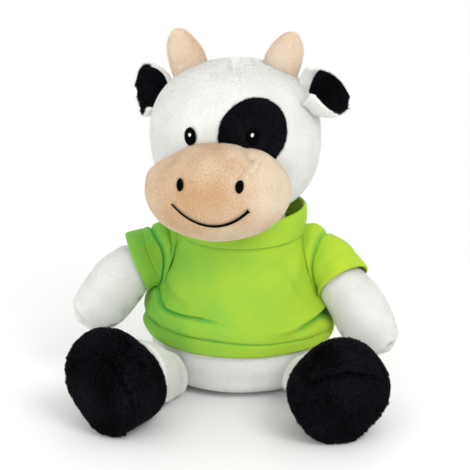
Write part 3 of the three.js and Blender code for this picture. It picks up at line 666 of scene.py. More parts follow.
def thread_material(name, low, high, specular):
    """Twisted embroidery thread, from its shaded tone to its lit one."""
    material = bpy.data.materials.new(name)
    material.use_nodes = True
    tree = material.node_tree
    shader = tree.nodes["Principled BSDF"]
    spot = node(tree, "ShaderNodeTexCoord").outputs["Object"]
    twist = node(tree, "ShaderNodeTexNoise", {"Vector": spot, "Scale": 1800.0, "Detail": 2.0})
    shade = node(tree, "ShaderNodeMix", {"Factor": twist.outputs["Fac"]}, data_type="RGBA")
    shade.inputs["A"].default_value = tone(low)
    shade.inputs["B"].default_value = tone(high)
    tree.links.new(shade.outputs["Result"], shader.inputs["Base Color"])
    ply = node(tree, "ShaderNodeBump", {"Height": twist.outputs["Fac"], "Strength": 0.4,
               "Distance": 0.1 * MM})
    tree.links.new(ply.outputs["Normal"], shader.inputs["Normal"])
    shader.inputs["Roughness"].default_value = 0.65
    shader.inputs["Specular IOR Level"].default_value = specular
    return material


def satin(name, ends, front, lift, crown):
    """Threads side by side on a front, each from one end to the other in X and Z."""
    steps, sides = 9, 6
    share = np.linspace(0, 1, steps)[None, :, None]
    starts, stops = ends[:, 0, None, :], ends[:, 1, None, :]
    line = starts + (stops - starts) * share
    swelling = np.sin(math.pi * share[..., 0])
    depth = front(line[..., 0], line[..., 1], lift) - crown * swelling ** 0.6
    middle = np.stack([line[..., 0], depth, line[..., 1]], -1)
    run = unit(middle[:, -1] - middle[:, 0])
    across = unit(np.cross(run, [0.0, 1.0, 0.0]))[:, None, None, :]
    out = unit(np.cross(across[:, 0, 0], run))[:, None, None, :]
    turn = all_round(sides)[None, None, :, None]
    thick = THREAD_THICK / 2 * (0.35 + 0.65 * swelling ** 0.35)[..., None, None]
    rings = middle[:, :, None, :] + thick * (np.cos(turn) * across + np.sin(turn) * out)
    parts = [cloth_mesh(name, turned(one.reshape(-1, 3)).reshape(one.shape)) for one in rings]
    return joined(name, parts)


def joined(name, parts):
    """One object out of several meshes."""
    places, faces = [], []
    for part in parts:
        start = len(places)
        places += [v.co.copy() for v in part.data.vertices]
        faces += [[v + start for v in p.vertices] for p in part.data.polygons]
        bpy.data.objects.remove(part)
    mesh = bpy.data.meshes.new(name)
    mesh.from_pydata(places, [], faces)
    mesh.polygons.foreach_set("use_smooth", [True] * len(faces))
    piece = bpy.data.objects.new(name, mesh)
    bpy.context.scene.collection.objects.link(piece)
    return piece


def oval_threads(middle, half):
    """Level threads that fill an oval, from its foot to its top."""
    rises = np.arange(-half[1] + THREAD_PITCH / 2, half[1], THREAD_PITCH)
    reach = half[0] * np.sqrt(np.clip(1 - (rises / half[1]) ** 2, 0.02, 1))
    level = middle[1] + rises
    slant = 0.25 * THREAD_PITCH
    return np.stack([np.stack([middle[0] - reach, level - slant], -1),
                     np.stack([middle[0] + reach, level + slant], -1)], 1)


black_thread = thread_material("black_thread", (1, 1, 2), (6, 6, 7), specular=0.03)
white_thread = thread_material("white_thread", (225, 225, 223), (242, 242, 240), specular=0.4)
for word, side in SIDES.items():
    eye_middle = EYE_MIDDLE * [side, 1] + [EYE_SHIFT[word], 0]
    eye = satin(f"eye_{word}_threads", oval_threads(eye_middle, EYE_HALF), head_front,
                lift=EYE_LIFT[word], crown=0.9 * MM)
    finish_piece(eye, black_thread, "head", [f"eye_{word}"])
    glint_middle = eye_middle + [0, GLINT_RISE]
    glint = satin(f"eye_glint_{word}_threads", oval_threads(glint_middle, GLINT_HALF), head_front,
                  lift=EYE_LIFT[word] + 1.0 * MM, crown=0.25 * MM)
    finish_piece(glint, white_thread, "head", [f"eye_glint_{word}"])
    x, z, half_x, half_z = NOSTRILS[word]
    nostril_oval = oval_threads(np.array([x, z]) * MM, np.array([half_x, half_z]) * MM)
    nostril = satin(f"nostril_{word}_threads", nostril_oval, muzzle_front, lift=0.3 * MM,
                    crown=0.7 * MM)
    finish_piece(nostril, black_thread, "head", [f"nostril_{word}"])

smile_along = np.linspace(-1, 1, int(SMILE_LENGTH / THREAD_PITCH))
smile_middle = smile_at(smile_along)
smile_slope = unit(np.gradient(smile_middle, axis=0))
smile_across = unit(np.stack([-smile_slope[:, 1], smile_slope[:, 0]], -1) + 0.25 * smile_slope)
smile_half = (SMILE_THIN + (SMILE_THICK - SMILE_THIN) * (smile_along + 1) / 2)[:, None] / 2
smile_half *= np.where(smile_along > SMILE_TICK_START, SMILE_TICK, 1.0)[:, None]
smile_ends = np.stack([smile_middle - smile_across * smile_half,
                       smile_middle + smile_across * smile_half], 1)
smile = satin("smile_threads", smile_ends, muzzle_front, lift=0.25 * MM, crown=0.55 * MM)
finish_piece(smile, black_thread, "head", ["smile"])


# Horns
# Two flattened cones of the same peach velour as the muzzle, stuffed and sewn on top of
# the head. Each swells from its seam, narrows to a round tip and leans outwards.

HORN_Y, HORN_BASE = 8 * MM, 173 * MM
# Each horn's x at its base, and the x and height of its tip
HORN_LINES = {"right": (24.2 * MM, 30 * MM, 200.6 * MM), "left": (24.9 * MM, 32.7 * MM, 197.9 * MM)}
HORN_HALF_WIDTH, HORN_HALF_DEPTH = 10.1 * MM, 6.4 * MM
HORN_LOW, HORN_HIGH = (231, 207, 178), (243, 229, 211)
horn_material = plush_material("horn_velour", HORN_LOW, HORN_HIGH, sheen=0.15, tuft_scale=1100,
                               bump=0.35)
for word, side in SIDES.items():
    horn_x, tip_x, tip_z = HORN_LINES[word]
    rows = np.concatenate([[-0.25, -0.12], np.sin(np.linspace(0, math.pi / 2, 26))[:-1]])[:, None]
    turn = all_round(48)
    narrow = np.sqrt(1 - np.abs(rows) ** 2.6) * (1 + 0.375 * rows * (1 - rows))
    x = side * (horn_x + rows * (tip_x - horn_x)) + HORN_HALF_WIDTH * narrow * np.cos(turn)
    y = HORN_Y + HORN_HALF_DEPTH * narrow * np.sin(turn)
    z = HORN_BASE + rows * (tip_z - HORN_BASE) + 0 * turn
    horn_rings = np.stack([x, y, z], -1)
    lumps = 0.35 * MM * swell(horn_rings.reshape(-1, 3), wave=12 * MM, seed=3).reshape(x.shape)
    horn_rings += lumps[..., None] * np.stack([np.cos(turn), np.sin(turn), 0 * turn], -1)
    horn = cloth_mesh(f"horn_{word}", turned(horn_rings.reshape(-1, 3)).reshape(horn_rings.shape))
    finish_piece(horn, horn_material, "head",
                 [f"horn_{word}_skin", f"horn_{word}_stuffing"])
    horn_pile = pile(f"horn_{word}_pile", horn, lean=0.8, seed=14, keep=muzzle_keep, **VELOUR_NAP)
    finish_piece(horn_pile, horn_material, "head")


# Ears
# Each ear is a leaf of two cloths, black in front and white behind, curled about its length.
# There is no stuffing in it, and its narrow root is pinched into the side seam of the head.

# Each ear's root, tip, way up, radius, and the angles of its lower rim at root and tip
EARS = {
    "right": ((40.2, 5.2, 169.5), (57.1, 20, 162.7), (0.21, 0.21, 0.95), 14, (-120, -88)),
    "left": ((40.1, 0, 168.4), (61.4, 11, 157.2), (0.15, 0.55, 0.82), 12.8, (-142, -99)),
}
EAR_ROOT_RADIUS = 4 * MM
EAR_TOP_ANGLE = 70
# Where each cloth starts, as a share of the ear's length from its root
EAR_START = -0.1
LINING_START = {"right": 0.1, "left": 0.2}


def ear_leaf(word, side, inner, outer, first, rows=30, columns=36):
    """The closed rings of one of the ear's cloths, from its root to its tip."""
    root, tip, rimward, full, curl = (np.array(value) for value in EARS[word])
    root, tip, full = root * MM, tip * MM, full * MM
    along = tip - root
    axis = along / np.linalg.norm(along)
    up = rimward - axis * (rimward @ axis)
    up /= np.linalg.norm(up)
    forward = np.cross(axis, up)
    rings = []
    for share in np.linspace(first, 1, rows):
        t = max(share, 0)
        # The leaf is pinched at its root, widest near its middle, and nearly shut at its tip.
        opening = math.sin(math.pi * min(0.16 + t * 0.84, 0.97)) ** 0.62
        radius = EAR_ROOT_RADIUS + (full - EAR_ROOT_RADIUS) * opening * (1 - 0.25 * t)
        low_rim = curl[0] + (curl[1] - curl[0]) * t ** 0.8
        bend = np.radians(np.linspace(low_rim, EAR_TOP_ANGLE, columns) * (1 - 0.55 * t ** 5))
        ring = []
        for depth, angles in [(inner, bend), (outer, bend[::-1])]:
            reach = radius + depth
            # Both skins of the cloth run together at its two long edges.
            rim = np.sqrt(np.clip(1 - np.abs(np.linspace(-1, 1, columns)) ** 14, 0, 1))
            middle_depth = radius + (inner + outer) / 2
            reach = middle_depth + (reach - middle_depth) * rim
            ring.append(root + along * share
                        + np.outer(reach * np.sin(angles), up)
                        + np.outer(full * 0.6 - reach * np.cos(angles), forward))
        rings.append(np.vstack(ring))
    rings = np.array(rings)
    rings[..., 0] *= side
    return rings


def ear_keep(roots):
    """Where the ears have pile: not inside the head."""
    return np.where(in_head(unturned(roots), margin=1.0 * MM), 0.0, 1.0)


for word, side in SIDES.items():
    for cloth, inner, outer, first, skin, hair, slot, long in [
        ("lining", 0.1, 0.9, LINING_START[word], black_skin, black_pile, "black_plush", 1.7),
        ("shell", 1.3, 2.2, EAR_START, white_skin, white_pile, "white_plush", 1.2),
    ]:
        leaf = ear_leaf(word, side, inner * MM, outer * MM, first)
        shape = leaf.shape
        leaf = turned(leaf.reshape(-1, 3)).reshape(shape)
        ear = cloth_mesh(f"ear_{word}_{cloth}_cloth", leaf, flat_ends=True)
        finish_piece(ear, skin, f"ear_{word}", [f"ear_{word}_{cloth}"])
        ear_pile = pile(f"ear_{word}_{cloth}_pile", ear, per_mm2=6, length=long * MM,
                        width=0.38 * MM, lean=1.0, seed=15, keep=ear_keep, gather=0.3)
        finish_piece(ear_pile, hair, f"ear_{word}")


# Torso
# The torso is a pear of white plush, filled so that it sits. The shirt hides all of it
# but the part under the hem, and the neck that goes up into the head.

# Height, half width and half depth in millimetres, slimmer where the shirt hides it
TORSO_RINGS = np.array([
    [-0.5, 33, 31], [4, 44.8, 41], [14, 50.3, 46], [31, 50.6, 45.6], [40, 47, 43], [50, 43.5, 39.5],
    [67, 37.5, 34], [81, 32, 29.5], [91, 27, 25.5], [99.7, 23.5, 22]]) * MM
SHIRT_COVERS = (30 * MM, 95 * MM)
FLOOR_CLEAR = 0.6 * MM
BODY_SINK = 0.9 * MM


def hermite(t, first, last, start, end):
    """From first to last as t runs from 0 to 1, setting out by start and arriving by end."""
    return ((2 * t ** 3 - 3 * t ** 2 + 1) * first + (3 * t ** 2 - 2 * t ** 3) * last
            + (t ** 3 - 2 * t ** 2 + t) * start + (t ** 3 - t ** 2) * end)


def profile(rows):
    """Smooth values between the rows of a table whose first column is a place."""
    slopes = np.gradient(rows[:, 1:], rows[:, 0], axis=0)

    def at(places):
        places = np.asarray(places, float)
        k = np.clip(np.searchsorted(rows[:, 0], places) - 1, 0, len(rows) - 2)
        gap = rows[k + 1, 0] - rows[k, 0]
        t = ((places - rows[k, 0]) / gap)[..., None]
        gap = gap[..., None]
        return hermite(t, rows[k, 1:], rows[k + 1, 1:], slopes[k] * gap, slopes[k + 1] * gap)

    return at


def on_floor(places, clear=FLOOR_CLEAR):
    """Places that rest on the floor, where they would go under it."""
    places = places.copy()
    places[..., 2] = np.maximum(places[..., 2], clear)
    return places


def torso_keep(roots):
    """Where the torso has pile: where the shirt doesn't cover it."""
    covered = (roots[:, 2] > SHIRT_COVERS[0]) & (roots[:, 2] < SHIRT_COVERS[1])
    return np.where(covered, 0.0, 1.0)


foot, top = TORSO_RINGS[[0, -1], 0]
heights = foot + (top - foot) * np.linspace(0, 1, 60) ** 1.3
turn = all_round(120)
sizes = profile(TORSO_RINGS)(heights) - BODY_SINK
torso_rings = np.stack([sizes[:, :1] * np.cos(turn), sizes[:, 1:] * np.sin(turn),
                        heights[:, None] + 0 * turn], -1)
torso_lumps = swell(torso_rings.reshape(-1, 3), wave=32 * MM, seed=4)
torso_rings[..., :2] *= 1 + 0.012 * torso_lumps.reshape(heights.size, -1, 1)
torso = cloth_mesh("torso", on_floor(torso_rings))
finish_piece(torso, white_skin, "torso", ["torso_skin", "torso_stuffing"])
torso_pile = pile("torso_pile", torso, per_mm2=7, seed=16, keep=torso_keep, **PLUSH_NAP)
finish_piece(torso_pile, white_pile, "torso")


# Shirt body
# The shirt is lime jersey. A front and a back panel meet at the side seams, and the cloth
# rides up into a roll over the hem, fullest at the toy's right.

JERSEY = 1.0 * MM
# Height, half width and half depth of the cloth in millimetres, without its roll and folds
SHIRT_RINGS = np.array([
    [27.5, 54, 48.4], [35, 54.4, 49], [45, 51.6, 46.2], [57, 47, 42], [67, 42.8, 38.8],
    [77, 38.6, 35.6], [89, 34.2, 32.7]]) * MM
HEM_BOTTOM, PANEL_TOP = SHIRT_RINGS[[0, -1], 0]
HEM_TURN, HEM_TURN_HALF = 0.6 * MM, 0.7 * MM
# The roll: degrees round the body, middle, half height and bulge in millimetres
ROLL = profile(np.array([
    [0, 38, 4, 0.4], [60, 40, 4, 0.4], [110, 43, 5, 0.6], [150, 45, 6.3, 2.2], [180, 46, 7, 3.2],
    [200, 46, 7.2, 3.5], [208, 43.5, 5.2, 3.4], [218, 42, 4.2, 3.2], [232, 41.9, 4.1, 2.9],
    [246, 42.2, 4.5, 2.4], [258, 42, 4.3, 1.7], [272, 40.6, 4.3, 1.1], [290, 39.3, 4.4, 0.8],
    [310, 38.4, 4, 0.6], [330, 38, 3.8, 0.5], [360, 38, 4, 0.4]]))
# Folds: depth in millimetres, half width in millimetres, and the line in degrees and height
SHIRT_FOLDS = [
    (-2.0, 0.9, [(178, 54), (200, 53.6), (207, 49.6), (217, 46.6), (231, 46.5), (245, 47.1),
                 (258, 46.4)]),
    (-1.1, 0.6, [(170, 38.8), (200, 38.8), (231, 37.9), (250, 37.2), (270, 35.9), (288, 35),
                 (309, 34.7), (340, 33.4), (358, 33.2)]),
    (-3.0, 1.5, [(356, 44.6), (340, 44), (330, 43.2), (321, 41.6), (308, 39.4)]),
    (2.2, 2.4, [(352, 49), (342, 48), (318, 45.8), (304, 42.6), (292, 41.5)]),
    (1.2, 2.6, [(350, 39.5), (326, 38.6), (310, 37.4)]),
    (-2.8, 2.8, [(359, 45), (352, 43.4), (343, 42), (333, 41.6)]),
    (-1.6, 1.3, [(172, 38.8), (206, 38.6), (218, 38.2)]),
    (1.3, 3.0, [(172, 32), (206, 32), (222, 32)]),
    (-0.8, 0.8, [(196, 78), (200, 83), (209, 89)]),
    (-0.8, 0.8, [(343, 78), (347, 83), (351, 88)]),
    (-0.5, 0.6, [(200, 86.4), (270, 85.9), (345, 85.9)]),
    (-1.5, 3.2, [(300, 76), (314, 71.6), (319, 61.3), (326, 54.4), (338, 50)]),
    (1.2, 4.0, [(330, 76), (316, 66), (306, 56)]),
    (-1.0, 4.5, [(318, 78), (300, 72), (285, 74)]),
    (1.0, 4.5, [(203, 68), (214, 62), (232, 56)]),
    (-1.1, 3.2, [(202, 60), (214, 55), (236, 51.5)]),
]
# Folds no wider than this are creases, whose hollows get painted shade, darker and greener. The
# painted shade is full at a fold of that depth.
CREASE_WIDTH, FULL_CREASE_SHADE = 2.9, 2 * MM
# The shirt's mean radius in millimetres, which makes degrees into millimetres round the body
SHIRT_RADIUS = 45


def fold_lines(turn, z, widest=9.0):
    """The creases and ridges of the cloth at an angle and a height, up to that half width."""
    scale = math.radians(SHIRT_RADIUS)
    flat = np.stack([np.degrees(turn) % 360 * scale, z / MM, 0 * z], -1).reshape(-1, 3)
    total = 0
    for height, width, line in SHIRT_FOLDS:
        if width > widest:
            continue
        far, along = line_distance(flat, np.array([(a * scale, b, 0) for a, b in line]))
        fade = np.clip(np.minimum(along, 1 - along) * 5 + 0.2, 0, 1)
        total = total + height * fade * np.exp(-(far / width) ** 2)
    return total.reshape(np.shape(z)) * MM


def shirt_point(turn, z, lift=0.0):
    """A point on the cloth. Its roll stands out like a tube and hangs over its upper crease."""
    size = profile(SHIRT_RINGS)(z)
    middle, half, bulge = np.moveaxis(ROLL(np.degrees(turn) % 360), -1, 0)
    across = (z / MM - middle) / half
    tube = bulge * np.sqrt(np.clip(1 - across ** 2, 0, 1))
    overhang = 0.5 * bulge * np.exp(-((across - 0.72) / 0.3) ** 2)
    out = tube * MM + fold_lines(turn, z) + lift
    return np.stack([(size[..., 0] + out) * np.cos(turn), (size[..., 1] + out) * np.sin(turn),
                     z + overhang * MM], -1)


def sheet_mesh(name, outer, inner, around=False, cut=None, crease_shade=None):
    """Cloth between an outer and an inner grid of points. around closes it into a tube, cut leaves
    out what it says, and the last says how deep in a crease each point lies, for painted shade."""
    rows, columns = outer.shape[:2]
    r, c = np.meshgrid(np.arange(rows - 1), np.arange(columns if around else columns - 1),
                       indexing="ij")
    beside = (c + 1) % columns
    face = np.stack([r * columns + c, r * columns + beside, (r + 1) * columns + beside,
                     (r + 1) * columns + c], -1).reshape(-1, 4)
    if cut is not None:
        hole = cut(outer.reshape(-1, 3))
        face = face[~hole[face].any(1)]
    count = rows * columns
    sides = np.concatenate([face[:, [k, (k + 1) % 4]] for k in range(4)])
    seen = {(a, b) for a, b in sides.tolist()}
    rims = [(b, a, a + count, b + count) for a, b in sides.tolist() if (b, a) not in seen]
    faces = face.tolist() + (face[:, ::-1] + count).tolist() + rims
    used = sorted({v for one in faces for v in one})
    new = {v: k for k, v in enumerate(used)}
    places = np.vstack([outer.reshape(-1, 3), inner.reshape(-1, 3)])[used]
    mesh = bpy.data.meshes.new(name)
    mesh.from_pydata(places.tolist(), [], [[new[v] for v in one] for one in faces])

    # The map of the cloth is laid out in metres along its own rows and columns.
    flat = mesh.uv_layers.new(name="cloth")
    width = np.linalg.norm(np.diff(outer, axis=1), axis=2).sum(1).mean() / (columns - 1)
    height = np.linalg.norm(np.diff(outer, axis=0), axis=2).sum(0).mean() / (rows - 1)
    old = np.array(used) % count
    spot = np.stack([old % columns * width, old // columns * height], -1)
    corners = np.empty(len(mesh.loops), np.int32)
    mesh.loops.foreach_get("vertex_index", corners)
    flat.uv.foreach_set("vector", spot[corners].ravel())

    # Each point keeps how deep in a crease it lies, which the jersey turns into painted shade
    crease_shade_attribute = mesh.attributes.new("crease_shade", "FLOAT", "POINT")
    depth = np.zeros(count) if crease_shade is None else crease_shade.reshape(-1)
    crease_shade_attribute.data.foreach_set("value", np.concatenate([depth, depth])[used].astype(np.float32))
    return place_mesh(name, mesh)


def grid_outs(grid, around):
    """The way out from each point of a grid of points."""
    if around:
        across = np.roll(grid, -1, 1) - np.roll(grid, 1, 1)
    else:
        across = np.gradient(grid, axis=1)
    outs = np.cross(across, np.gradient(grid, axis=0))
    return outs / np.maximum(np.linalg.norm(outs, axis=2), 1e-12)[..., None]


# The jersey's tones run from a shaded green to a lit yellow-lime; the knit and random clouds mix
# between them, and so do painted light and shade
JERSEY_LOW, JERSEY_HIGH = (98, 183, 78), (183, 208, 50)
# The jersey has painted light, yellower towards the toy's left where the key light falls, and
# painted shade, greener in its creases
PAINTED_SIDE_LIGHT, HOLLOW_SHADE = 8.5, 0.8
jersey_group, given, result = group(
    "jersey_knit_and_painted_light",
    [("Low", "NodeSocketColor", (0.3, 0.5, 0.1, 1)), ("High", "NodeSocketColor", (0.5, 0.7, 0.1, 1)),
     ("Wales", "NodeSocketFloat", 1500.0)],
    [("Color", "NodeSocketColor"), ("Height", "NodeSocketFloat")])
cloth_spot = node(jersey_group, "ShaderNodeUVMap", uv_map="cloth").outputs["UV"]
solid_spot = node(jersey_group, "ShaderNodeTexCoord").outputs["Object"]
parts = node(jersey_group, "ShaderNodeSeparateXYZ", {0: cloth_spot})
waves = []
for part, factor in [("X", 1.0), ("Y", 0.75)]:
    rate = node(jersey_group, "ShaderNodeMath", {0: given["Wales"], 1: factor * 2 * math.pi},
                operation="MULTIPLY")
    phase = node(jersey_group, "ShaderNodeMath", {0: parts.outputs[part], 1: rate.outputs[0]},
                 operation="MULTIPLY")
    wave = node(jersey_group, "ShaderNodeMath", {0: phase.outputs[0]}, operation="SINE")
    waves.append(wave.outputs[0])
knit = node(jersey_group, "ShaderNodeMath", {0: waves[0], 1: waves[1]}, operation="MULTIPLY")
knit_share = node(jersey_group, "ShaderNodeMapRange", {"Value": knit.outputs[0],
                  "From Min": -1.0, "From Max": 1.0})
clouds = node(jersey_group, "ShaderNodeTexNoise", {"Vector": solid_spot, "Scale": 60.0,
              "Detail": 3.0})
mixed = node(jersey_group, "ShaderNodeMath", {0: knit_share.outputs[0], 1: 0.2,
             2: clouds.outputs["Fac"]}, operation="MULTIPLY_ADD")
# Painted light: the tone grows yellower towards the toy's left, where the key light falls
sideways = node(jersey_group, "ShaderNodeSeparateXYZ", {0: solid_spot})
side_lit_share = node(jersey_group, "ShaderNodeMath", {0: sideways.outputs["X"], 1: PAINTED_SIDE_LIGHT,
             2: mixed.outputs[0]}, operation="MULTIPLY_ADD")
# Painted shade: the tone is darker and greener in the creases
crease_shade_attribute = node(jersey_group, "ShaderNodeAttribute", attribute_name="crease_shade")
shaded = node(jersey_group, "ShaderNodeMath", {0: crease_shade_attribute.outputs["Fac"], 1: -HOLLOW_SHADE,
              2: side_lit_share.outputs[0]}, operation="MULTIPLY_ADD")
jersey_share = node(jersey_group, "ShaderNodeMapRange", {"Value": shaded.outputs[0],
                    "From Min": -0.4, "From Max": 1.35})
jersey_tone = node(jersey_group, "ShaderNodeMix", {"Factor": jersey_share.outputs[0],
                   "A": given["Low"], "B": given["High"]}, data_type="RGBA")
jersey_group.links.new(jersey_tone.outputs["Result"], result.inputs["Color"])
jersey_group.links.new(knit_share.outputs[0], result.inputs["Height"])

lime_jersey = bpy.data.materials.new("lime_jersey")
lime_jersey.use_nodes = True
jersey_tree = lime_jersey.node_tree
jersey_shader = jersey_tree.nodes["Principled BSDF"]
jersey_pattern = node(jersey_tree, "ShaderNodeGroup", node_tree=jersey_group)
jersey_pattern.inputs["Low"].default_value = tone(JERSEY_LOW)
jersey_pattern.inputs["High"].default_value = tone(JERSEY_HIGH)
jersey_tree.links.new(jersey_pattern.outputs["Color"], jersey_shader.inputs["Base Color"])
jersey_bump = node(jersey_tree, "ShaderNodeBump", {"Height": jersey_pattern.outputs["Height"],
                   "Strength": 0.35, "Distance": 0.12 * MM})
jersey_tree.links.new(jersey_bump.outputs["Normal"], jersey_shader.inputs["Normal"])
jersey_shader.inputs["Roughness"].default_value = 0.85
jersey_shader.inputs["Specular IOR Level"].default_value = 0.12
jersey_shader.inputs["Sheen Weight"].default_value = 0.05
jersey_shader.inputs["Sheen Roughness"].default_value = 0.4

ARMHOLE_MIDDLE_Z = 70 * MM
ARMHOLE_HALF_Z = 19 * MM
ARMHOLE_HALF_TURN = math.radians(23)
# The hole is cut smaller than the seam of the sleeve, so that no gap shows
ARMHOLE_LAP, ARMHOLE_SHARE = 2 * MM, 0.88
SHIRT_HALF = np.array([38, 35]) * MM


def armhole_point(word, phase):
    """The seam of a sleeve, as an angle and a height on the shirt. Phase 0 is at the front,
    a quarter turn is at the top."""
    z = ARMHOLE_MIDDLE_Z + ARMHOLE_HALF_Z * np.sin(phase)
    widen = 1 - 0.18 * np.sin(phase)
    off = ARMHOLE_HALF_TURN * widen * np.sign(np.cos(phase)) * np.abs(np.cos(phase)) ** 0.8
    return (math.pi + off if word == "right" else -off), z


def in_armhole(places):
    """Which places of the panels are cut out for the sleeves."""
    turn = np.arctan2(places[:, 1] / SHIRT_HALF[1], np.abs(places[:, 0]) / SHIRT_HALF[0])
    high = (places[:, 2] - ARMHOLE_MIDDLE_Z) / (ARMHOLE_HALF_Z - ARMHOLE_LAP)
    return (turn / (ARMHOLE_HALF_TURN * ARMHOLE_SHARE)) ** 2 + high ** 2 < 1


for word, low_turn in [("front", math.pi), ("back", 0.0)]:
    turn = np.linspace(low_turn, low_turn + math.pi, 210)
    turn, z = np.meshgrid(turn, np.linspace(HEM_BOTTOM, PANEL_TOP, 160))
    panel_outer = shirt_point(turn, z)
    waves = swell(panel_outer.reshape(-1, 3), wave=22 * MM, seed=5).reshape(z.shape)
    panel_outer += grid_outs(panel_outer, False) * (0.35 * MM * waves)[..., None]
    edge = np.exp(-((z - HEM_BOTTOM) / HEM_TURN_HALF) ** 2)
    outs = grid_outs(panel_outer, False)
    panel_outer -= outs * (HEM_TURN * edge)[..., None]
    # How deep each point lies in a crease, for the jersey's painted shade
    crease_shade = np.clip(-fold_lines(turn, z, CREASE_WIDTH) / FULL_CREASE_SHADE, 0, 1)
    panel = sheet_mesh(f"shirt_{word}_panel", panel_outer, panel_outer - outs * JERSEY,
                       cut=in_armhole, crease_shade=crease_shade)
    finish_piece(panel, lime_jersey, "torso", [f"shirt_{word}"])


# Collar
# A doubled band of the same jersey stands up round the chin. It is low in front and high
# behind, and is sewn to the neck of the panels.

COLLAR_BOTTOM, COLLAR_TOP = 86.4 * MM, 102.2 * MM
COLLAR_DROP = 2.4 * MM
COLLAR_LEAN = 4.5 * MM
COLLAR_HALF = np.array([36, 34.4]) * MM
COLLAR_FLARE = 0.4 * MM
COLLAR_WALL = 1.8 * MM
COLLAR_SWELL = 0.9 * MM
# The upper edge is turned in over the last tenth, and the seam at the foot is drawn in
COLLAR_TURN, COLLAR_TURN_START = 0.8 * MM, 0.9
COLLAR_SEAM, COLLAR_SEAM_END = 0.3 * MM, 0.03
turn = all_round(240)
share = np.linspace(0, 1, 34)[:, None]
front = np.maximum(0, -np.sin(turn)) ** 2
edge = np.clip((share - COLLAR_TURN_START) / (1 - COLLAR_TURN_START), 0, 1)
bulge = COLLAR_FLARE * share + COLLAR_SWELL * np.sin(math.pi * share) ** 0.7
bulge = bulge - COLLAR_TURN * edge ** 2 - COLLAR_SEAM * (share < COLLAR_SEAM_END)
bulge = bulge - COLLAR_LEAN * np.sin(turn) ** 2 * share
collar_z = COLLAR_BOTTOM + (COLLAR_TOP - COLLAR_DROP * front - COLLAR_BOTTOM) * share
collar_outer = np.stack([(COLLAR_HALF[0] + bulge) * np.cos(turn),
                         (COLLAR_HALF[1] + bulge) * np.sin(turn), collar_z], -1)
collar_waves = swell(collar_outer.reshape(-1, 3), wave=26 * MM, seed=6)
collar_outs = grid_outs(collar_outer, True)
collar_outer += collar_outs * (0.5 * MM * collar_waves.reshape(collar_z.shape) * share)[..., None]
collar = sheet_mesh("shirt_collar_band", collar_outer, collar_outer - collar_outs * COLLAR_WALL,
                    around=True)
finish_piece(collar, lime_jersey, "torso", ["shirt_collar"])


# Sleeves
# Short sleeves of the same jersey, set in at a slanting seam between collar and underarm.
# Their cuffs are wide and turned up once.

SHOULDER = np.array([40, -2, 73]) * MM
PAW = {"right": np.array([-79.5, -18, 45]) * MM, "left": np.array([75.5, -18, 34.5]) * MM}
ARM_BOW = {"right": 6.5 * MM, "left": 4.5 * MM}
CUFF_SHARE = {"right": 0.43, "left": 0.55}
CUFF_HALF_DEPTH = 17.6 * MM
CUFF_HALF_HEIGHT = {"right": 18 * MM, "left": 16.3 * MM}
CUFF_LEAN = {"right": math.radians(22), "left": math.radians(49)}
CUFF_SHIFT = {"right": np.array([-1, 0, 0.8]) * MM, "left": np.array([-1.1, 0, 3.2]) * MM}
CUFF_REACH = 0.25
# The stitching of the cuff's hem: how far it is from the edge, its depth and its half width
HEM_SEAM, HEM_SEAM_DEPTH, HEM_SEAM_HALF = 10.5 * MM, 0.4 * MM, 0.6 * MM
# How far the front of each cuff is pulled back along the arm
CUFF_PULL = {"right": 2.5 * MM, "left": 10 * MM}
# How flat each sleeve leaves its seam at the sides, at the underarm and over the shoulder
SLEEVE_FLATNESS, UNDERARM_FLATNESS = 0.75, 0.15
SHOULDER_FLATNESS = {"right": 0.3, "left": -0.1}
SLEEVE_PULL = 0.9
# Folds across each sleeve: height in millimetres, half width as a share of the length,
# and the line as angles round the sleeve and shares of its length
SLEEVE_FOLDS = {
    "right": [
        (1.9, 0.13, [(-30, 0), (0, 0.04), (25, 0.13), (60, 0.31), (95, 0.39)]),
        (-2.2, 0.03, [(-50, 0.1), (-10, 0.18), (20, 0.28), (60, 0.46), (95, 0.55)]),
        (-0.7, 0.15, [(20, 0.5), (60, 0.65), (95, 0.75)]),
        (-1.0, 0.03, [(15, 0.08), (40, 0.16), (95, 0.26)]),
    ],
    "left": [
        (1.8, 0.1, [(0, 0.08), (40, 0.16), (95, 0.2)]),
        (-2.2, 0.03, [(-45, 0.1), (0, 0.2), (30, 0.27), (60, 0.31), (95, 0.36)]),
        (1.6, 0.16, [(0, 0.4), (40, 0.5), (95, 0.6)]),
    ],
}
# Sleeve folds narrower than this share of the length are creases, which get painted shade
SLEEVE_CREASE = 0.05


def arm_point(word, share):
    """A point on the middle line of an arm, which bows upwards."""
    start = SHOULDER * [SIDES[word], 1, 1]
    on_arm = min(max(share, 0), 1)
    bow = ARM_BOW[word] * (4 * on_arm * (1 - on_arm)) ** 2
    return start + (PAW[word] - start) * share + [0, 0, bow]


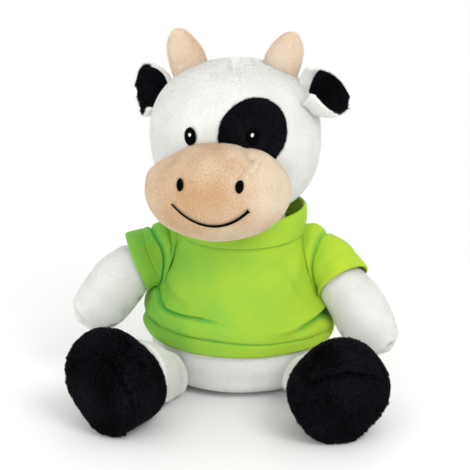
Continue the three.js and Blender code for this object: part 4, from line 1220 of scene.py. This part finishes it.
def sleeve_grid(word, rows=56, columns=132):
    """A sleeve from its seam on the shirt to its cuff, with the angles round it and the shares
    along it."""
    side = SIDES[word]
    phase = all_round(columns)
    turn, z = armhole_point(word, phase)
    turn = turn + 0 * phase
    seam = shirt_point(turn, z, -0.4 * MM)
    size = profile(SHIRT_RINGS)(z)
    outs = unit(np.stack([np.cos(turn) / size[:, 0], np.sin(turn) / size[:, 1], 0 * turn], -1))
    inwards = unit(seam.mean(0) + outs * 1 * MM - seam)
    inwards -= (inwards * outs).sum(1)[:, None] * outs
    below, above = np.clip(-np.sin(phase), 0, 1), np.clip(np.sin(phase), 0, 1)
    flatness = (SLEEVE_FLATNESS - (SLEEVE_FLATNESS - UNDERARM_FLATNESS) * below
                - (SLEEVE_FLATNESS - SHOULDER_FLATNESS[word]) * above)
    start_way = unit(outs + flatness[:, None] * inwards)
    centre = arm_point(word, CUFF_SHARE[word]) + CUFF_SHIFT[word]
    tilt = CUFF_LEAN[word]
    rise = CUFF_HALF_HEIGHT[word] * np.sin(phase)
    depth = -CUFF_HALF_DEPTH * np.cos(phase)
    cuff = centre + np.stack([rise * math.sin(tilt) * side, depth, rise * math.cos(tilt)], -1)
    end_way = np.array([math.cos(tilt) * side, -CUFF_REACH, -math.sin(tilt)])
    cuff -= np.outer(CUFF_PULL[word] * np.cos(phase), end_way)
    reach = np.linalg.norm(cuff - seam, axis=1)[:, None]
    t = np.linspace(0, 1, rows)[:, None, None]
    grid = hermite(t, seam, cuff, start_way * reach * SLEEVE_PULL, end_way * reach * SLEEVE_PULL)
    return grid, phase, t[..., 0]


for word in SIDES:
    sleeve_outer, phase, t = sleeve_grid(word)
    sleeve_outs = grid_outs(sleeve_outer, True)
    middle = sleeve_outer.mean(1, keepdims=True)
    sleeve_outs *= np.sign(((sleeve_outer - middle) * sleeve_outs).sum(2).mean())
    waves = swell(sleeve_outer.reshape(-1, 3), wave=20 * MM, seed=7)
    waves = waves.reshape(sleeve_outer.shape[:2])
    ease = np.sin(math.pi * t) ** 0.5

    # A ridge stands beside the armhole seam, and the folds come on top of it.
    folds = 0.4 * MM * np.exp(-((t - 0.06) / 0.04) ** 2)
    crease_shade = 0 * folds
    round_deg = (np.degrees(phase) + 120) % 360 - 120
    for height, width, line in SLEEVE_FOLDS[word]:
        angles, shares = np.transpose(line)
        here = np.interp(round_deg, angles, shares)
        fade = np.clip(1 - (angles[0] - round_deg) / 25, 0, 1)
        fade *= np.clip(1 - (round_deg - angles[-1]) / 40, 0, 1)
        fold = height * MM * fade * np.exp(-((t - here) / width) ** 2)
        folds = folds + fold
        # Narrow creases get painted shade in the jersey
        if width < SLEEVE_CREASE:
            crease_shade = crease_shade - fold / FULL_CREASE_SHADE
    length = np.linalg.norm(np.diff(sleeve_outer, axis=0), axis=2).sum(0)

    # The hem's stitching and the turned edge of the cuff are drawn in.
    from_cuff = (1 - t) * length
    folds = folds - HEM_SEAM_DEPTH * np.exp(-((from_cuff - HEM_SEAM) / HEM_SEAM_HALF) ** 2)
    rise = 0.5 * MM * waves * ease + folds
    rise = rise - 0.5 * MM * np.clip((t - 0.985) / 0.015, 0, 1)
    sleeve_outer = sleeve_outer + sleeve_outs * rise[..., None]
    sleeve = sheet_mesh(f"sleeve_{word}_cloth", sleeve_outer, sleeve_outer - sleeve_outs * JERSEY,
                        around=True, crease_shade=np.clip(crease_shade, 0, 1))
    finish_piece(sleeve, lime_jersey, None, [f"sleeve_{word}"])
    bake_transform(sleeve)


# Arms
# Each arm is a tube of white plush that widens to a round paw, stuffed firmly.
# Its root goes through the sleeve and is sewn to the side of the torso.

# Shares of the way to the paw, and the radius there in millimetres
ARM_RINGS = np.array([
    [-0.3, 6], [0, 8.5], [0.2, 10.6], [0.36, 12.8], [0.5, 14.4], [0.7, 16.3], [0.85, 16.9],
    [1, 15.4], [1.12, 12.9], [1.22, 8.8], [1.272, 1.6]])
ARM_PILE_START = 0.36
ARM_START, ARM_OVER = ARM_RINGS[0, 0], ARM_RINGS[-1, 0] - 1
PAW_TIP_RADIUS = 1.4 * MM
LIMB_TURN = all_round(72)


def tousled(roots, ups):
    """The nap lies down, but every way on the underside, where it is rubbed."""
    rubbed = np.clip(-2 * ups[:, 2] - 0.2, 0, 1)[:, None]
    swirl = np.stack([swell(roots, wave=7 * MM, seed=seed) for seed in (31, 32, 33)], -1)
    return downwards(roots, ups) + 2.5 * rubbed * swirl


def ring_across(centre, direction, radius, turn):
    """A ring about a centre, square to a direction that isn't upright."""
    across = np.cross(direction, [0.0, 0.0, 1.0])
    across /= np.linalg.norm(across)
    up = np.cross(across, direction)
    up /= np.linalg.norm(up)
    return centre + radius * (np.outer(np.cos(turn), across) + np.outer(np.sin(turn), up))


for word in SIDES:
    run = PAW[word] - arm_point(word, 0)
    way = run / np.linalg.norm(run)
    over = ARM_OVER * np.sin(np.linspace(0, math.pi / 2, 22)[1:])
    shares = np.concatenate([np.linspace(ARM_START, 1.0, 50), 1 + over])
    radii = np.maximum(profile(ARM_RINGS)(shares)[:, 0] * MM, PAW_TIP_RADIUS) - BODY_SINK
    arm_rings = np.array([ring_across(arm_point(word, share), way, radius, LIMB_TURN)
                          for share, radius in zip(shares, radii)])
    lumps = swell(arm_rings.reshape(-1, 3), wave=20 * MM, seed=8).reshape(arm_rings.shape[:2])
    arm_rings += grid_outs(arm_rings, True) * 0.4 * MM * lumps[..., None]
    arm = cloth_mesh(f"arm_{word}", arm_rings)
    finish_piece(arm, white_skin, f"arm_{word}",
                 [f"arm_{word}_skin", f"arm_{word}_stuffing"])

    def arm_keep(roots, start=arm_point(word, 0), run=run):
        """Where the arm has pile: from inside its cuff to the paw."""
        return np.where((roots - start) @ run / (run @ run) > ARM_PILE_START, 1.0, 0.0)

    arm_pile = pile(f"arm_{word}_pile", arm, per_mm2=7, seed=17, comb=tousled, keep=arm_keep,
                    **PLUSH_NAP)
    finish_piece(arm_pile, white_pile, f"arm_{word}")


# Legs
# Short tubes of white plush run forward from under the hem, filled together with the feet.
# Their roots are sewn to the front of the torso.

HIP = np.array([37, -33, 13.5]) * MM
ANKLE = {"right": np.array([-52, -65, 0]) * MM, "left": np.array([52.4, -64, 0]) * MM}
TOE_OUT = {"right": math.radians(30), "left": math.radians(14)}
LEG_LIFT = {"right": 6 * MM, "left": 1.5 * MM}
# Shares of the way to the ankle, and the radius there in millimetres
LEG_RINGS = np.array([[-0.5, 8], [-0.25, 10.5], [0, 12.4], [0.3, 14.8], [0.6, 18.2], [0.85, 19.6],
                      [1, 19.4], [1.1, 19]])
LEG_END = 1.02
LEG_PILE_END = 0.99
# The torso where the legs are sewn to it, and the draw of their seams: how far out it is,
# its half width and its depth
SEAT_HALF = np.array([51, 46]) * MM
LEG_SEAM, LEG_SEAM_HALF, LEG_SEAM_DEPTH = 0.12, 0.028, 1.6
for word, side in SIDES.items():
    hip = HIP * [side, 1, 1]
    flat = (ANKLE[word] - hip) * [1, 1, 0]
    foot_way = np.array([side * math.sin(TOE_OUT[word]), -math.cos(TOE_OUT[word]), 0])
    leg_way = flat / np.linalg.norm(flat)
    rings = []
    for share in np.linspace(LEG_RINGS[0, 0], LEG_END, 48):
        radius = profile(LEG_RINGS)(share)[0] * MM
        centre = hip + flat * share
        centre[2] = radius - 0.5 * MM + LEG_LIFT[word] * np.clip(share, 0, 1) ** 2.5
        way = leg_way + (foot_way - leg_way) * np.clip(share, 0, 1)
        rings.append(ring_across(centre, way, radius - BODY_SINK, LIMB_TURN))
    leg_rings = np.array(rings)
    lumps = swell(leg_rings.reshape(-1, 3), wave=20 * MM, seed=9).reshape(leg_rings.shape[:2])
    from_torso = np.linalg.norm(leg_rings[..., :2] / SEAT_HALF, axis=2) - 1
    seam = LEG_SEAM_DEPTH * np.exp(-((from_torso - LEG_SEAM) / LEG_SEAM_HALF) ** 2)
    lumps = 0.5 * lumps - seam
    leg_rings += grid_outs(leg_rings, True) * MM * lumps[..., None]
    leg = cloth_mesh(f"leg_{word}", on_floor(leg_rings))
    finish_piece(leg, white_skin, None,
                 [f"leg_{word}_skin", f"leg_{word}_stuffing"])

    def leg_keep(roots, hip=hip, flat=flat):
        """Where the leg has pile: not inside the torso, nor inside the foot."""
        inside = ((roots[:, :2] / (SEAT_HALF - 2 * MM)) ** 2).sum(1) < 1
        past = (roots - hip) @ flat / (flat @ flat) > LEG_PILE_END
        return np.where(inside | past, 0.0, 1.0)

    leg_pile = pile(f"leg_{word}_pile", leg, per_mm2=7, seed=18, keep=leg_keep, **PLUSH_NAP)
    finish_piece(leg_pile, white_pile, None)
    for piece in (leg, leg_pile):
        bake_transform(piece)


# Feet
# Each foot is a round bag of shaggy black plush, sewn to the leg and closed by a sole
# of the same plush. It lies on its heel with the sole facing forward.

# How far along the foot, and its radius there, in millimetres
BOOT_RINGS = np.array([[-1, 19.0], [0, 19.8], [6, 23.6], [14, 26.8], [23, 28], [30, 26.6],
                       [31.5, 26]])
# Radius on the sole, and how far the cloth falls back from its middle there, in millimetres
SOLE_RINGS = np.array([[0, 0.0], [6, 0.1], [14, 1.0], [20, 2.6], [25.4, 6.5]])
BOOT_START, BOOT_LENGTH = BOOT_RINGS[0, 0], BOOT_RINGS[-1, 0]
SOLE_RADIUS, SOLE_FULLNESS = SOLE_RINGS[-1, 0], 6.0
# The edge of the boot is tucked in at the seam of the sole
TUCK, TUCK_HALF = 0.8 * MM, 1.5
SHAGGY_SINK = 1.9 * MM
SHAGGY_NAP = {"per_mm2": 4.6, "length": 2.8 * MM, "width": 0.5 * MM, "lean": 0.85, "gather": 0.6,
              "tuft": 2.4 * MM, "bent": True, "stray": 0.4}
FOOT_CLEAR = 1.0 * MM
FOOT_TURN = all_round(96)
# How far each foot stands out from round, every 45 degrees from the viewer's left over the top
FOOT_BULGE = {"right": [-1.5, 2.6, 1.6, -2.4, -0.6, -0.6, -0.4, -4.6],
              "left": [-0.3, -2.2, 1.0, 0.4, 0, -3.0, 0, -0.4]}
BULGE_REACH = 14
# The crease of each sole, seen from its front, in millimetres to its right and up
SOLE_CREASES = {"right": [(-17, 20.5), (-5.7, 23), (6, 22), (15.5, 15.5), (21.5, 3), (22.5, -9)],
                "left": [(-19, 13.5), (-9, 16.5), (1, 17.3), (14, 14.7), (21.5, 8)]}
CREASE_DEPTH, CREASE_HALF = 4.0, 2.1
# A raised rim runs outside the crease
RIM_RISE, RIM_HALF, RIM_OUTSIDE = 3.0, 2.8, 1.22


def foot_keep(roots):
    """Where the feet have pile: not where they lie flat on the floor."""
    return np.where(roots[:, 2] < FOOT_CLEAR + 0.1 * MM, 0.0, 1.0)


for word, side in SIDES.items():
    foot_way = np.array([side * math.sin(TOE_OUT[word]), -math.cos(TOE_OUT[word]), 0])

    def foot_point(reach, height, ankle=ANKLE[word], way=foot_way):
        """A point that far along the foot and that high."""
        return ankle + way * reach + [0, 0, height]

    def foot_ring(centre, radius, share):
        """A ring of the foot, with that share of its bulges."""
        corners = np.array(FOOT_BULGE[word] + FOOT_BULGE[word][:1])
        bulges = profile(np.column_stack([np.arange(9) * math.pi / 4, corners]))(FOOT_TURN)
        return centre + np.concatenate([
            ring_across([0, 0, 0], foot_way, radius + bulge * share * MM, np.array([angle]))
            for angle, bulge in zip(FOOT_TURN, bulges[:, 0])])

    rings = []
    for reach in np.linspace(BOOT_START, BOOT_LENGTH, 40):
        radius = profile(BOOT_RINGS)(reach)[0] * MM
        centre = foot_point(reach * MM, radius - 0.5 * MM)
        tuck = TUCK * math.exp(-((reach - BOOT_LENGTH) / TUCK_HALF) ** 2)
        bulge_share = min(1, max(0, reach / BULGE_REACH))
        rings.append(foot_ring(centre, radius - SHAGGY_SINK - tuck, bulge_share))
    boot_rings = np.array(rings)
    lumps = swell(boot_rings.reshape(-1, 3), wave=24 * MM, seed=10).reshape(boot_rings.shape[:2])
    boot_rings += grid_outs(boot_rings, True) * 0.5 * MM * lumps[..., None]
    boot = cloth_mesh(f"boot_{word}_cloth", on_floor(boot_rings, FOOT_CLEAR))
    finish_piece(boot, black_skin, f"leg_{word}", [f"boot_{word}"])

    rings = []
    radii = np.linspace(SOLE_RADIUS, 0.6, 60)
    crease_line = np.array(SOLE_CREASES[word], float)
    for radius, drop in zip(radii, profile(SOLE_RINGS)(radii)[:, 0]):
        seen = radius * np.stack([-np.cos(FOOT_TURN), np.sin(FOOT_TURN)], -1)
        from_crease = line_distance(seen, crease_line)[0]
        from_rim = line_distance(seen, crease_line * RIM_OUTSIDE)[0]
        crease = CREASE_DEPTH * np.exp(-(from_crease / CREASE_HALF) ** 2)
        rim = RIM_RISE * np.exp(-(from_rim / RIM_HALF) ** 2)
        depth = (crease - rim)[:, None]
        centre = foot_point((BOOT_LENGTH + SOLE_FULLNESS - drop) * MM, SOLE_RADIUS * MM)
        ring = foot_ring(centre, radius * MM, radius / SOLE_RADIUS)
        rings.append(ring - depth * MM * foot_way)
    sole = cloth_mesh(f"sole_{word}_cloth", on_floor(np.array(rings), FOOT_CLEAR))
    finish_piece(sole, black_skin, f"leg_{word}", [f"sole_{word}"])
    for part, ground, seed in [("boot", boot, 19), ("sole", sole, 20)]:
        shaggy = pile(f"{part}_{word}_pile", ground, seed=seed, keep=foot_keep, **SHAGGY_NAP)
        finish_piece(shaggy, black_pile, f"leg_{word}")


# Tail
# A short strip of white plush with a black tuft, sewn low on the back.

# The middle lines and the radii of the strip and of the tuft
TAIL_LINE = np.array([[0, 42, 15.5], [0, 45, 15], [1.5, 53, 12.5], [6, 60, 8]]) * MM
TUFT_LINE = np.array([[5.4, 59, 8.6], [8, 62, 7.5], [12, 65.4, 6.8]]) * MM
TAIL_RADII = np.array([2.2, 2.2, 2.2, 2.1]) * MM
TUFT_RADII = np.array([1.6, 3.4, 4.0, 3.6, 2.4, 0.8]) * MM


def tube(line, radii, steps):
    """Rings along a smooth line, with radii given at even shares of it."""
    shares = np.linspace(0, 1, len(line))
    path = profile(np.column_stack([shares, line]))
    size = profile(np.column_stack([np.linspace(0, 1, len(radii)), radii]))
    t = np.linspace(0, 1, steps)
    places = path(t)
    ways = unit(np.gradient(places, axis=0))
    return np.array([ring_across(place, way, radius[0], all_round(24))
                     for place, way, radius in zip(places, ways, size(t))])


tail = cloth_mesh("tail_strip_cloth", tube(TAIL_LINE, TAIL_RADII, steps=20))
finish_piece(tail, white_skin, "tail", ["tail_strip"])
tail_pile = pile("tail_strip_pile", tail, per_mm2=7, length=1.9 * MM, width=0.38 * MM, lean=0.9,
                 seed=21)
finish_piece(tail_pile, white_pile, "tail")
tuft = cloth_mesh("tail_tuft_cloth", on_floor(tube(TUFT_LINE, TUFT_RADII, steps=16)))
finish_piece(tuft, black_skin, "tail", ["tail_tuft"])


def along_tuft(roots, ups):
    """The nap of the tuft lies along it, towards its tip."""
    return np.tile(unit((TUFT_LINE[-1] - TUFT_LINE[0])[None])[0], (len(roots), 1))


tuft_pile = pile("tail_tuft_pile", tuft, per_mm2=6, length=4.0 * MM, width=0.45 * MM, lean=1.0,
                 seed=22, comb=along_tuft, gather=0.5, bent=True)
finish_piece(tuft_pile, black_pile, "tail")
